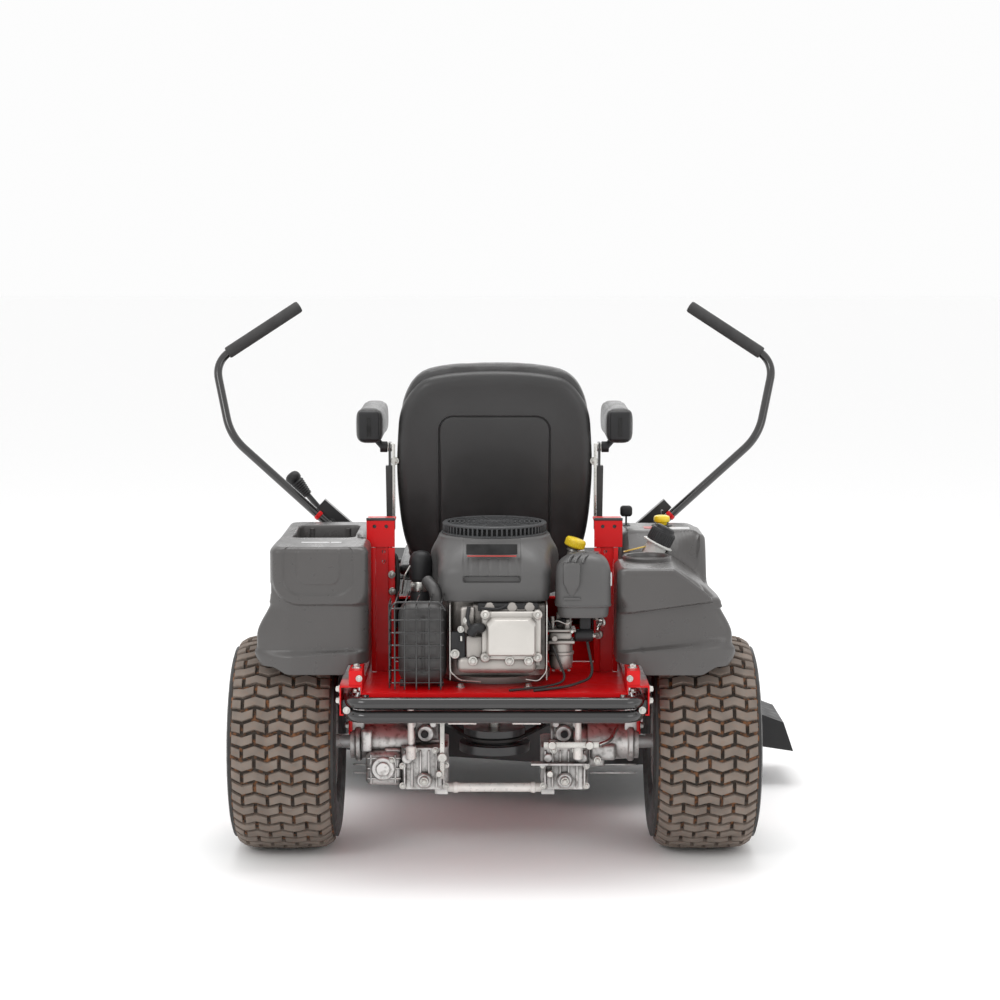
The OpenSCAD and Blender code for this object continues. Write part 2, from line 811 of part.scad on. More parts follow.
// Half profile of a tyre from its crown to its bead
function tyre_half(r, w, bead) = [
    [r, w * 0.30], [r - r * 0.02, w * 0.40], [r - r * 0.075, w * 0.465],
    [r - r * 0.19, w * 0.5], [r - r * 0.36, w * 0.49], [bead + 4, w * 0.40], [bead, w * 0.385]
];

function reversed(points) = [for (i = [len(points) - 1 : -1 : 0]) points[i]];
function flipped(points) = [for (p = points) [p[0], -p[1]]];

module tyre(x, at, d, w, bead_d, wall) {
    outer = tyre_half(d / 2, w, bead_d / 2);
    inner = tyre_half(d / 2 - wall, w - 2 * wall, bead_d / 2);
    color("dimgray")
        turned_x(x, at, concat(reversed(outer), flipped(outer), reversed(flipped(inner)), inner));
}

// Barrel and flanges of a rim for a tyre of width w
module rim_barrel(x, at, bead_d, w, wall, lip) {
    b = bead_d / 2 - 0.05;
    e = 0.40 * w + lip / 2;
    turned_x(x, at, [
        [b - wall, -e - 3], [b + lip, -e - 3], [b + lip, -e], [b, -e], [b, e], [b + lip, e],
        [b + lip, e + 3], [b - wall, e + 3]
    ]);
}

module rear_tyre() { tyre(wheel_x, [0, axle_z], rear_tyre_d, rear_tyre_w, rear_rim_d, 13); }

module rear_rim() {
    disc = wheel_x + rim_inset;
    nut_ring = 52;
    color("silver") {
        rim_barrel(wheel_x, [0, axle_z], rear_rim_d, rear_tyre_w, 4, 12);
        turned_x(disc, [0, axle_z], [
            [35, 0], [64, 0], [72, 12], [rear_rim_d / 2 - 3, 12],
            [rear_rim_d / 2 - 3, 17], [70, 17], [62, 5], [35, 5]
        ]);
        // Axle shaft, hub flange and nuts
        rod_x([hydro_x + 62, disc - 10], [0, axle_z], axle_d);
        rod_x([disc - 10, disc], [0, axle_z], 128);
        rod_x([disc, disc + 24], [0, axle_z], 60);
        for (a = [0 : 72 : 288]) translate([0, 0, axle_z]) rotate([a, 0, 0]) translate([0, 0, -axle_z])
            rod_x([disc + 5, disc + 20], [0, axle_z + nut_ring], 15);
    }
}

module front_tyre() { tyre(caster_x, [caster_y, caster_r], caster_tyre_d, caster_tyre_w, caster_rim_d, 9); }

module front_rim() {
    hub = caster_tyre_w / 2 + 8 - gap;
    axle = 16;
    color("silver")
        difference() {
            union() {
                rim_barrel(caster_x, [caster_y, caster_r], caster_rim_d, caster_tyre_w, 3, 8);
                rod_x([caster_x - hub, caster_x + hub], [caster_y, caster_r], 40);
                rod_x([caster_x - 3, caster_x + 3], [caster_y, caster_r], caster_rim_d - 4);
            }
            rod_x([caster_x - hub - eps, caster_x + hub + eps], [caster_y, caster_r],
                  axle + 2 * run_fit);
        }
}

module caster_fork() {
    leg = [caster_tyre_w / 2 + 8, caster_tyre_w / 2 + 14];
    foot = 20;
    color("black") {
        post([caster_x, pivot_y], [crown_z, frame_top + 6 + gap + 12], stem_d);
        block([caster_x - leg[1], pivot_y - 30, crown_z],
              [caster_x + leg[1], pivot_y + 30, crown_z + crown_t]);
        post([caster_x, pivot_y], [frame_top + 6 + gap, frame_top + 6 + gap + 10], stem_d + 14);
        for (s = [-1, 1])
            translate([caster_x, 0, 0]) side(s)
                along_x(leg)
                    polygon([
                        [pivot_y - 30, crown_z + crown_t], [pivot_y + 30, crown_z + crown_t],
                        [pivot_y + 30, crown_z - 20], [caster_y + foot, caster_r - 4],
                        [caster_y + foot - 8, caster_r - foot], [caster_y - foot + 8, caster_r - foot],
                        [caster_y - foot, caster_r - 4]
                    ]);
        rod_x([caster_x - leg[1] - 10, caster_x + leg[1] + 10], [caster_y, caster_r], 16);
        for (s = [-1, 1]) translate([caster_x, 0, 0]) side(s)
            rod_x([leg[1], leg[1] + 9], [caster_y, caster_r], 26);
    }
}

// ---- Seat ----

// Moves its children onto the leaning seat back, whose rear face is at y = 0
module on_back() { translate([0, back_y, seat_z + 14]) rotate([back_lean, 0, 0]) children(); }

module back_outline(inset) {
    half = seat_w / 2;
    hull() for (s = [-1, 1]) {
        translate([s * (half - 72), back_h - 84]) circle(62 - inset, $fn = 48);
        translate([s * (half - 40), back_h * 0.5]) circle(40 - inset, $fn = 48);
        translate([s * (half - 74), 32]) circle(30 - inset, $fn = 48);
    }
}

module seat_pan() {
    half = seat_w / 2;
    plate = half + 4;
    color("black")
        difference() {
            union() {
                block([-half + 24, seat_y + 10, seat_z - sheet_t], [half - 24, seat_front, seat_z]);
                rod_x([-side_x - 9, side_x + 9], seat_pivot, seat_pin_d);
                for (s = [-1, 1]) side(s) {
                    block([half - 44, seat_pivot[0] - 15, seat_pivot[1] - 10],
                          [half - 30, seat_pivot[0] + 15, seat_z - 1]);
                    // Armrest bracket up the side of the seat back
                    block([half - 30, arm_pivot[0] - 2, seat_z - sheet_t],
                          [plate + bracket_t, arm_pivot[0] + 28, seat_z]);
                    along_x([plate, plate + bracket_t])
                        polygon([
                            [arm_pivot[0] - 2, seat_z - sheet_t], [arm_pivot[0] + 28, seat_z - sheet_t],
                            [arm_pivot[0] + 20, arm_pivot[1] + 10], [arm_pivot[0] - 20, arm_pivot[1] + 10],
                            [arm_pivot[0] - 20, arm_pivot[1] - 20]
                        ]);
                    rod_x([plate, armrest_x[0] + 6], arm_pivot, arm_pin_d);
                }
            }
            for (x = [-120, 120], y = [seat_y + 80, seat_front - 90])
                post([x, y], [seat_z - 10, seat_z + 5], 9);
        }
}

module seat_shell() {
    half = seat_w / 2;
    color("black") {
        on_back() along_y([0, back_t]) back_outline(0);
        round_block([-half + 10, back_y + 20, seat_z], [half - 10, seat_front + 12, seat_z + 22], 40);
    }
}

module seat_back_pad() {
    color("black")
        on_back() translate([0, 0, cushion_t + 6])
            along_y([back_t + gap, back_t + back_pad_t])
                intersection() {
                    translate([0, -cushion_t - 6]) back_outline(8);
                    translate([-300, 0]) square([600, 600]);
                }
}

module seat_cushion() {
    half = seat_w / 2;
    color("black")
        round_block([-half + 4, back_y + back_t + 16, seat_z + 22 + gap],
                    [half - 4, seat_front + 22, seat_z + 22 + cushion_t], 46);
}

module armrest() {
    y = [arm_pivot[0] - 42, arm_pivot[0] - 42 + armrest_len];
    z = [arm_pivot[1] + 10, arm_pivot[1] + 86];
    color("black")
        difference() {
            union() {
                along_x(armrest_x) round_rect([y[0], z[0]], [y[1], z[1]], 26);
                rod_x([armrest_x[0] - 8, armrest_x[0] + 8], arm_pivot, 34);
            }
            rod_x([armrest_x[0] - 10, armrest_x[0] + 6 + gap], arm_pivot, arm_pin_d + 2 * run_fit);
        }
}

// ---- Lap bars and controls ----

// Pivoting arm on the seat's side plate, with the pin that the lap bar swings on
module lever_base() {
    x = [side_x + gap, side_x + 44];
    root_x = [side_x + 19, side_x + 43];
    root_z = arm_axis[1] - 8;
    arm_y = [bar_y + 14, bar_y + 38];
    color("dimgray") {
        difference() {
            union() {
                rod_x(x, arm_axis, 30);
                block([root_x[0], bar_y, root_z], [root_x[1], arm_y[1], root_z + 26]);
                along_y(arm_y)
                    polygon([
                        [root_x[0], root_z], [root_x[1] + 4, root_z],
                        [bar_pivot[0] + 31, bar_pivot[2] + 41], [bar_pivot[0] + 14, bar_pivot[2] + 59],
                        [root_x[0], root_z + 26]
                    ]);
                rod_y([arm_y[0] - 2, arm_y[1]], [bar_pivot[0], bar_pivot[2]], 30);
            }
            rod_x([side_x - eps, side_x + 60], arm_axis, arm_axis_d + 2 * run_fit);
        }
        rod_y([bar_y - 18, arm_y[0] - 2], [bar_pivot[0], bar_pivot[2]], bar_pin_d);
    }
}

module lever_bar() {
    knuckle = [bar_y - 12, bar_y + 12 - gap];
    color("black") {
        difference() {
            union() {
                rod_y(knuckle, [bar_pivot[0], bar_pivot[2]], 26);
                bent_rod([bar_pivot, bar_points[0], bar_points[1], bar_points[2], bar_points[3]], bar_d);
            }
            rod_y([bar_y - 20, bar_y + 20], [bar_pivot[0], bar_pivot[2]], bar_pin_d + 2 * run_fit);
        }
        rod(bar_points[3], bar_points[4], grip_d);
    }
}

module lift_lever() {
    hub = [side_x + gap, side_x + 44];
    foot = [side_x + 32, lift_axis[0], lift_axis[1] + 8];
    elbow = [380, lift_axis[0], 660];
    along = (knob_point - elbow) / norm(knob_point - elbow);
    color("black") side(-1) {
        difference() {
            union() {
                rod_x(hub, lift_axis, 32);
                bent_rod([foot, elbow, knob_point - 20 * along], 13);
            }
            rod_x([side_x - eps, side_x + 60], lift_axis, lift_pin_d + 2 * run_fit);
        }
        rod(knob_point - 20 * along, knob_point + 8 * along, 28);
        rod(knob_point + 8 * along, knob_point + 26 * along, 36);
    }
}

module throttle_lever() {
    color("black") {
        difference() {
            rod_x([throttle_at[0] - 4, throttle_at[0] + 4], [throttle_at[1], throttle_at[2]], 15);
            rod_x([throttle_at[0] - 9, throttle_at[0] + 9], [throttle_at[1], throttle_at[2]],
                  throttle_pin_d + 2 * run_fit);
        }
        block([throttle_at[0] - 2, throttle_at[1] - 4, throttle_at[2] + 7],
              [throttle_at[0] + 2, throttle_at[1] + 4, throttle_at[2] + 42]);
        translate([throttle_at[0], throttle_at[1], throttle_at[2] + 54]) sphere(d = 28, $fn = 32);
    }
}

module pto_knob() {
    base = console_top;
    color("gold") {
        post(knob_at, [base - 14, base + 8], knob_stem_d);
        post(knob_at, [base + 8, base + 24], 36);
        post(knob_at, [base + gap, base + 8], 24);
    }
}

module ignition_key() {
    base = console_top;
    color("black") {
        post(key_at, [base - 12, base + 4], key_d);
        post(key_at, [base + gap, base + 6], 18);
        block([key_at[0] - 2, key_at[1] - 12, base + 6], [key_at[0] + 2, key_at[1] + 12, base + 30]);
    }
}

// ---- Deck ----

module deck_outline(inset) {
    hull() {
        translate([-spindle_x, deck_y + spindle_dy]) circle(shell_r - inset, $fn = 96);
        translate([spindle_x, deck_y - spindle_dy]) circle(shell_r - inset, $fn = 96);
    }
    translate([spindle_x, chute_y - chute_len / 2 + inset])
        square([skirt_x - spindle_x - inset, chute_len - 2 * inset]);
}

module deck_shell() {
    lug_r = 9;
    hinge = [skirt_x + 4, deck_top - 8];
    color("black")
        difference() {
            union() {
                translate([0, 0, deck_z]) linear_extrude(deck_h) deck_outline(0);
                for (s = [-1, 1]) {
                    at = [s * spindle_x, deck_y - s * spindle_dy];
                    post(at, [deck_top, deck_top + 34], 84);
                    // Roller brackets
                    block([s < 0 ? -174 : 166, deck_y + 100, deck_z + 8],
                          [s < 0 ? -166 : 174, roller_y + 14, deck_z + 60]);
                }
                // Hanger straps that slide inside the rails
                for (p = [[-1, -145], [-1, 245], [1, -315], [1, 115]])
                    side(p[0])
                        block([strap_x - 5, deck_y + p[1], deck_top - 2],
                              [strap_x, deck_y + p[1] + 30, strap_top]);
                // Hinge ears of the chute
                for (s = [-1, 1]) {
                    rod_y([chute_y + s * 84 - 12, chute_y + s * 84 + 12], hinge, 2 * lug_r);
                    block([skirt_x - 12, chute_y + s * 84 - 12, hinge[1] - lug_r],
                          [hinge[0], chute_y + s * 84 + 12, hinge[1] + lug_r]);
                }
                rod_y([chute_y - 96, chute_y + 96], hinge, chute_pin_d);
            }
            translate([0, 0, deck_z - eps]) linear_extrude(deck_h - shell_t + eps) deck_outline(shell_t);
            block([spindle_x + 170, chute_y - chute_len / 2 + shell_t, deck_z - eps],
                  [skirt_x - eps, chute_y + chute_len / 2 - shell_t, deck_top - shell_t]);
            block([skirt_x - 8, chute_y - 71, deck_z - eps], [skirt_x + eps, chute_y + 71, deck_top + 2]);
            block([skirt_x - 12, chute_y - chute_len / 2 + 12, deck_z - eps],
                  [skirt_x + 3, chute_y + chute_len / 2 - 12, deck_z + 74]);
            for (s = [-1, 1]) {
                post([s * spindle_x, deck_y - s * spindle_dy], [deck_z, deck_top + 40],
                     stem_d + 2 * run_fit);
                rod_x([s < 0 ? -180 : 160, s < 0 ? -160 : 180], [roller_y, roller_z], 14 + 2 * run_fit);
            }
        }
}

// Blade, spindle shaft and pulley of one side
module blade_spindle() {
    at = [spindle_x, deck_y - spindle_dy];
    blade_z = deck_z + 18;
    color("silver") {
        post(at, [blade_z - 8, deck_belt_z + 16], stem_d);
        difference() {
            union() {
                translate([at[0], at[1], blade_z]) block([-blade_len / 2, -28, 0], [blade_len / 2, 28, 5]);
                for (a = [0, 180]) translate([at[0], at[1], blade_z + 5]) rotate([0, 0, a])
                    block([blade_len / 2 - 120, 20, 0], [blade_len / 2 - 20, 28, 16]);
                post(at, [blade_z + 5, deck_top - 30], 44);
            }
            post(at, [blade_z - eps, deck_top], stem_d);
        }
    }
    color("black")
        difference() {
            pulley(at, deck_belt_z, deck_pulley_d, belt_w);
            post(at, [deck_belt_z - 20, deck_belt_z + 20], stem_d);
        }
}

module blade_spindle_left() {
    translate([-2 * spindle_x, 2 * spindle_dy, 0]) blade_spindle();
}

module deck_belt() {
    color("black")
        belt([[0, crank_y, pto_pulley_d / 2],
              [-spindle_x, deck_y + spindle_dy, deck_pulley_d / 2],
              [spindle_x, deck_y - spindle_dy, deck_pulley_d / 2]], deck_belt_z, belt_t, belt_w);
}

module chute_deflector() {
    hinge = [skirt_x + 4, deck_top - 8];
    r = 9;
    y = [chute_y - 112, chute_y + 112];
    low = deck_z - 16 - hinge[1];
    color("black")
        difference() {
            union() {
                rod_y([chute_y - 70, chute_y + 70], hinge, 2 * r);
                translate([hinge[0], 0, hinge[1]]) {
                    along_y(y)
                        polygon([
                            [r + 3, -3], [r + 3, 4], [40, 4], [chute_reach - 24, -36],
                            [chute_reach, low], [chute_reach - 4, low], [chute_reach - 27, -40],
                            [39, 0], [r + 5, -3]
                        ]);
                    along_y([chute_y - 70, chute_y + 70])
                        polygon([[0, 3], [0, 8], [r + 6, 4], [r + 6, -3], [6, -3]]);
                    for (s = [0, 1])
                        along_y([y[s] - (s == 1 ? 4 : 0), y[s] + (s == 1 ? 0 : 4)])
                            polygon([
                                [r + 5, 2], [40, 2], [chute_reach - 24, -38], [chute_reach - 2, low],
                                [40, low + 20], [r + 5, low + 34]
                            ]);
                }
            }
            rod_y([y[0] - eps, y[1] + eps], hinge, chute_pin_d + 2 * run_fit);
        }
}

module deck_rollers() {
    color("black") {
        rod_x([-184, 184], [roller_y, roller_z], 14);
        for (x = [-160, 108]) difference() {
            rod_x([x, x + 52], [roller_y, roller_z], roller_d);
            rod_x([x - eps, x + 53], [roller_y, roller_z], 14);
        }
    }
}

place() side(-1) rail();  // frame_rail_left
place() rail();  // frame_rail_right
place() front_beam();
place() engine_plate();
place() side(-1) upright();  // upright_left
place() upright();  // upright_right
place() rear_bumper();
place() floor_pan();
place() fender_left();
place() fender_right();
place() fuel_tank();
place() fuel_cap();
place() battery();
place() engine_block();
place() valve_cover();
place() blower_housing();
place() fan_guard();
place() crankshaft();
place() air_filter();
place() carburettor();
place() muffler();
place() muffler_guard();
place() starter_motor();
place() oil_cap();
place() pto_clutch();
place() transaxle_left();
place() transaxle_right();
place() side(-1) transaxle_pulley();  // transaxle_pulley_left
place() transaxle_pulley();  // transaxle_pulley_right
place() drive_belt();
place() side(-1) rear_rim();  // rear_rim_left
place() rear_rim();  // rear_rim_right
place() side(-1) rear_tyre();  // rear_tyre_left
place() rear_tyre();  // rear_tyre_right
place() side(-1) caster_fork();  // caster_fork_left
place() caster_fork();  // caster_fork_right
place() side(-1) front_rim();  // front_rim_left
place() front_rim();  // front_rim_right
place() side(-1) front_tyre();  // front_tyre_left
place() front_tyre();  // front_tyre_right
place() seat_pan();
place() seat_shell();
place() seat_back_pad();
place() seat_cushion();
place() side(-1) armrest();  // armrest_left
place() armrest();  // armrest_right
place() side(-1) lever_base();  // lever_base_left
place() lever_base();  // lever_base_right
place() side(-1) lever_bar();  // lever_bar_left
place() lever_bar();  // lever_bar_right
place() deck_shell();
place() blade_spindle_left();
place() blade_spindle();  // blade_spindle_right
place() deck_belt();
place() chute_deflector();
place() deck_rollers();
place() lift_lever();
place() throttle_lever();
place() pto_knob();
place() ignition_key();
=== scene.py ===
"""Looks of a zero turn mower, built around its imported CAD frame.

Sizes in this script are millimetres about the rear axle's centre on the ground, the design frame of the
part: +X to the operator's right, +Y forward, +Z up. place() turns them into the frame's metres.
"""

import json
import math
import random

import bmesh
import bpy
from mathutils import Matrix, Vector


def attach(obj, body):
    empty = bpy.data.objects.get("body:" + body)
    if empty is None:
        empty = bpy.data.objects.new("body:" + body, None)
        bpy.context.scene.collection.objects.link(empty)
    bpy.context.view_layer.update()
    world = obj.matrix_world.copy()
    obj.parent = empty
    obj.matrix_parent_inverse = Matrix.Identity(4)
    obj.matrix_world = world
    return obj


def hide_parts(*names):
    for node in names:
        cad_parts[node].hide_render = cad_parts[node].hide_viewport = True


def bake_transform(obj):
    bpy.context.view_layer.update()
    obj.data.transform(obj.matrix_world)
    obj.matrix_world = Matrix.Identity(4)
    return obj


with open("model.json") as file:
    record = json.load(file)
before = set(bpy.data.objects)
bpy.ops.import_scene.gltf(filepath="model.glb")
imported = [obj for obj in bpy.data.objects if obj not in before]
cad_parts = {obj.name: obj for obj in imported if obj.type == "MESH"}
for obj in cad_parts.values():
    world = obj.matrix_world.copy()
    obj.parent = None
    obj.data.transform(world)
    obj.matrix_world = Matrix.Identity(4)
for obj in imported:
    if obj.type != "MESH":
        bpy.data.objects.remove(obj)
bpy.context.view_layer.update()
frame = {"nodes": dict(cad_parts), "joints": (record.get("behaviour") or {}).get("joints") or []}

MM = 0.001
UP, REAR, RIGHT = (0, 0, 1), (0, -1, 0), (1, 0, 0)
SIDES = ((-1, "left"), (1, "right"))

CRANK_Y = -60
AXLE_Z = 229
WHEEL_X = 445
CASTER_X, CASTER_Y, CASTER_R = 450, 1260, 140
PLATE_TOP = 386
POST_X = 242
SEAT_Z = 560
BLOWER_BOTTOM, BLOWER_TOP = 564, 690
SPINDLES = (((-258, 780), "left"), ((258, 620), "right"))

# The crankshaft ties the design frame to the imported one
CRANK = next(joint["pos_m"] for joint in frame["joints"] if joint["name"] == "crank_spin")
SHIFT = Vector((CRANK[0], CRANK[1] - CRANK_Y * MM, 0))


def place(point):
    """A design point in millimetres, as a point of the frame in metres."""
    return Vector(point) * MM + SHIFT


def clamp(value, low=0.0, high=1.0):
    return max(low, min(high, value))


def smooth(value, low, high):
    """0 below low, 1 above high, eased between them; low may be the larger."""
    t = clamp((value - low) / (high - low))
    return t * t * (3 - 2 * t)


def mix(a, b, t):
    return a + (b - a) * t


# ---- Materials ----


def link_noise(tree, scale, detail=3.0, stretch=None):
    """A noise texture on the piece's own metres, so it moves with the piece."""
    nodes, links = tree.nodes, tree.links
    coord = nodes.new("ShaderNodeTexCoord")
    noise = nodes.new("ShaderNodeTexNoise")
    noise.inputs["Scale"].default_value = scale
    noise.inputs["Detail"].default_value = detail
    if stretch is None:
        links.new(coord.outputs["Object"], noise.inputs["Vector"])
    else:
        mapping = nodes.new("ShaderNodeMapping")
        mapping.inputs["Scale"].default_value = stretch
        links.new(coord.outputs["Object"], mapping.inputs["Vector"])
        links.new(mapping.outputs["Vector"], noise.inputs["Vector"])
    return noise.outputs["Fac"]


def ramp(tree, factor, stops):
    """A colour ramp of (place, colour) stops."""
    node = tree.nodes.new("ShaderNodeValToRGB")
    tree.links.new(factor, node.inputs["Fac"])
    elements = node.color_ramp.elements
    elements[0].position, elements[0].color = stops[0][0], (*stops[0][1], 1)
    elements[1].position, elements[1].color = stops[-1][0], (*stops[-1][1], 1)
    for where, colour in stops[1:-1]:
        elements.new(where).color = (*colour, 1)
    return node.outputs["Color"]


def to_range(tree, factor, low, high, start=0.3, end=0.7):
    """A factor that runs from low to high between start and end."""
    node = tree.nodes.new("ShaderNodeMapRange")
    for socket, value in (("From Min", start), ("From Max", end), ("To Min", low), ("To Max", high)):
        node.inputs[socket].default_value = value
    tree.links.new(factor, node.inputs["Value"])
    return node.outputs["Result"]


def shade(colour, share):
    return tuple(c * share for c in colour)


# Painted shade: this colour is multiplied into inner corners through an ambient occlusion mask
CORNER_SHADE_COLOUR = (0.06, 0.05, 0.045)


def blend_in(tree, factor, base, colour, way="MIX"):
    """The base colour with another one blended in."""
    node = tree.nodes.new("ShaderNodeMix")
    node.data_type = "RGBA"
    node.blend_type = way
    tree.links.new(factor, node.inputs["Factor"])
    tree.links.new(base, node.inputs["A"])
    node.inputs["B"].default_value = (*colour, 1)
    return node.outputs["Result"]


def surface(
    name, colour, rough, metal=0.0, coat=0.0, vary=0.12, patch=9.0, grain=700.0, bump=0.15, edge=0.0,
    sheen=0.0, dirt=None, voronoi=0.0, clear=0.0, shine=0.5, corner_shade=0.0,
):
    """A material with cloudy colour, uneven gloss and a fine grain.

    vary is the share by which the colour drifts, patch and grain are noise scales per metre, voronoi is
    the scale of a leather grain, edge is a worn rounding in millimetres, dirt is (colour, amount), clear
    is transmission, shine is the specular level, and the last argument paints shade into inner corners
    by darkening them.
    """
    material = bpy.data.materials.new(name)
    material.use_nodes = True
    tree = material.node_tree
    nodes, links = tree.nodes, tree.links
    shader = nodes["Principled BSDF"]
    cloud = link_noise(tree, patch, 4.0)
    base = ramp(tree, cloud, [(0.3, shade(colour, 1 - vary)), (0.7, shade(colour, 1 + vary))])
    if dirt:
        dirt_colour, amount = dirt
        spots = link_noise(tree, patch * 5.0, 6.0)
        base = blend_in(tree, to_range(tree, spots, 0.0, amount, 0.5, 0.68), base, dirt_colour)
    # Painted shade: an ambient occlusion mask darkens the colour in inner corners
    if corner_shade:
        corners = nodes.new("ShaderNodeAmbientOcclusion")
        corners.samples = 6
        corners.inputs["Distance"].default_value = 0.022
        depth = to_range(tree, corners.outputs["AO"], corner_shade, 0.0, 0.25, 0.95)
        base = blend_in(tree, depth, base, CORNER_SHADE_COLOUR, "MULTIPLY")
    links.new(base, shader.inputs["Base Color"])
    gloss = link_noise(tree, patch * 4.0, 5.0)
    links.new(to_range(tree, gloss, rough * 0.82, min(1.0, rough * 1.2)), shader.inputs["Roughness"])
    for socket, value in (
        ("Metallic", metal), ("Coat Weight", coat), ("Coat Roughness", 0.12), ("Sheen Weight", sheen),
        ("Transmission Weight", clear), ("Specular IOR Level", shine),
    ):
        shader.inputs[socket].default_value = value
    height = link_noise(tree, grain, 2.0)
    if voronoi:
        coord = nodes.new("ShaderNodeTexCoord")
        cells = nodes.new("ShaderNodeTexVoronoi")
        cells.inputs["Scale"].default_value = voronoi
        cells.feature = "DISTANCE_TO_EDGE"
        links.new(coord.outputs["Object"], cells.inputs["Vector"])
        height = to_range(tree, cells.outputs["Distance"], 0.0, 1.0, 0.0, 0.12)
    relief = nodes.new("ShaderNodeBump")
    relief.inputs["Strength"].default_value = bump
    relief.inputs["Distance"].default_value = 0.0006
    links.new(height, relief.inputs["Height"])
    if edge:
        rounding = nodes.new("ShaderNodeBevel")
        rounding.samples = 3
        rounding.inputs["Radius"].default_value = edge * MM
        links.new(rounding.outputs["Normal"], relief.inputs["Normal"])
    links.new(relief.outputs["Normal"], shader.inputs["Normal"])
    return material


EARTH = (0.30, 0.12, 0.045)
RED = surface(
    "red_paint", (0.62, 0.004, 0.006), 0.36, coat=0.1, vary=0.06, bump=0.01, grain=60, edge=1.4, shine=0.22
)
BLACK_PAINT = surface("black_paint", (0.022, 0.022, 0.023), 0.34, coat=0.25, bump=0.08, edge=1.2)
GLOSS_BLACK = surface("gloss_black", (0.014, 0.013, 0.013), 0.18, coat=0.7, bump=0.02)
FENDER = surface("fender_plastic", (0.074, 0.070, 0.068), 0.31, vary=0.05, grain=1500, bump=0.22)
ENGINE_GREY = surface("engine_plastic", (0.085, 0.083, 0.082), 0.42, vary=0.06, grain=1300, bump=0.25)
GUARD_BLACK = surface("guard_plastic", (0.040, 0.041, 0.043), 0.5, grain=1300, bump=0.2, edge=0.6)
BLACK_PLASTIC = surface(
    "black_plastic", (0.017, 0.017, 0.018), 0.46, grain=1400, bump=0.2, edge=0.8, shine=0.35
)
SHELL = surface(
    "shell_plastic", (0.021, 0.020, 0.020), 0.36, coat=0.12, vary=0.1, voronoi=620, bump=0.25, sheen=0.05
)
VINYL = surface(
    "seat_vinyl", (0.019, 0.018, 0.018), 0.38, coat=0.12, vary=0.12, voronoi=520, bump=0.35, sheen=0.1
)
FOAM = surface("foam_grip", (0.035, 0.034, 0.034), 0.72, grain=1800, bump=0.5)
RUBBER = surface("belt_rubber", (0.020, 0.019, 0.018), 0.62, bump=0.3)
# The castings below carry painted shade in their inner corners; the transmission casting also has real dust
# spots
CAST = surface(
    "cast_aluminium", (0.41, 0.385, 0.36), 0.42, metal=0.7, vary=0.16, patch=16, grain=420, bump=0.4,
    edge=1.6, corner_shade=0.9,
)
CAST_DUST_AND_SHADE = surface(
    "transmission_casting", (0.66, 0.65, 0.635), 0.38, metal=0.7, vary=0.18, patch=14, grain=380, bump=0.4,
    edge=1.6, dirt=((0.10, 0.085, 0.07), 0.6), corner_shade=0.9,
)
COVER = surface(
    "valve_cover_cast", (0.60, 0.575, 0.54), 0.38, metal=0.55, vary=0.06, grain=600, bump=0.2, corner_shade=0.6
)
ZINC = surface("zinc_steel", (0.56, 0.55, 0.52), 0.3, metal=0.95, vary=0.15, patch=40, bump=0.03)
WHITE_ROD = surface("white_rod", (0.86, 0.84, 0.80), 0.3, metal=0.1, vary=0.1, patch=30, bump=0.1)
MUFFLER = surface(
    "muffler_steel", (0.070, 0.068, 0.067), 0.48, metal=0.35, vary=0.25, patch=22, grain=500, bump=0.35
)
RIM = surface("rim_paint", (0.60, 0.60, 0.59), 0.3, metal=0.4, coat=0.3, bump=0.05, edge=1.2)
TREAD = surface(
    "tread_rubber", (0.175, 0.142, 0.118), 0.74, vary=0.22, patch=26, grain=520, bump=0.5, dirt=(EARTH, 0.12)
)
GROOVE = surface(
    "tread_groove", (0.035, 0.026, 0.020), 0.85, vary=0.3, patch=18, grain=300, bump=0.6, dirt=(EARTH, 0.75)
)
SIDEWALL = surface("tyre_sidewall", (0.022, 0.021, 0.020), 0.52, vary=0.2, patch=14, bump=0.25)
CASTER_RUBBER = surface("caster_rubber", (0.045, 0.041, 0.038), 0.62, vary=0.2, patch=20, bump=0.3)
YELLOW = surface("yellow_plastic", (0.86, 0.62, 0.015), 0.36, coat=0.2, vary=0.05, bump=0.1)
MILKY = surface("milky_plastic", (0.74, 0.74, 0.71), 0.38, vary=0.05, bump=0.1, clear=0.12)
LABEL = surface("plain_label", (0.60, 0.60, 0.60), 0.35, vary=0.05, bump=0.02)
LABEL_RED = surface("plain_label_red", (0.45, 0.05, 0.04), 0.35, vary=0.1, bump=0.02)
LABEL_YELLOW = surface("plain_label_yellow", (0.80, 0.55, 0.08), 0.35, vary=0.1, bump=0.02)
# Flat near-black: painted shade in the armrest slot and under the fan screen, and the print of the engine
# label
SHADE_AND_LABEL_BLACK = surface("shade_and_label_black", (0.010, 0.010, 0.010), 0.8)


# ---- Form building ----


def around(direction):
    """Two unit vectors square to a direction."""
    along = Vector(direction).normalized()
    aside = along.orthogonal().normalized()
    return along, aside, along.cross(aside)


def fillet(points, radius, steps=6):
    """The path through points with its corners rounded."""
    points = [Vector(p) for p in points]
    path = [points[0]]
    for before, corner, after in zip(points, points[1:], points[2:]):
        reach = min(radius, (before - corner).length * 0.48, (after - corner).length * 0.48)
        start = corner + (before - corner).normalized() * reach
        end = corner + (after - corner).normalized() * reach
        for i in range(steps + 1):
            t = i / steps
            path.append(start * (1 - t) ** 2 + corner * 2 * t * (1 - t) + end * t * t)
    path.append(points[-1])
    return path


def circle(count, start=0.0):
    """Evenly spread angles of a full turn."""
    return [math.tau * (i + start) / count for i in range(count)]


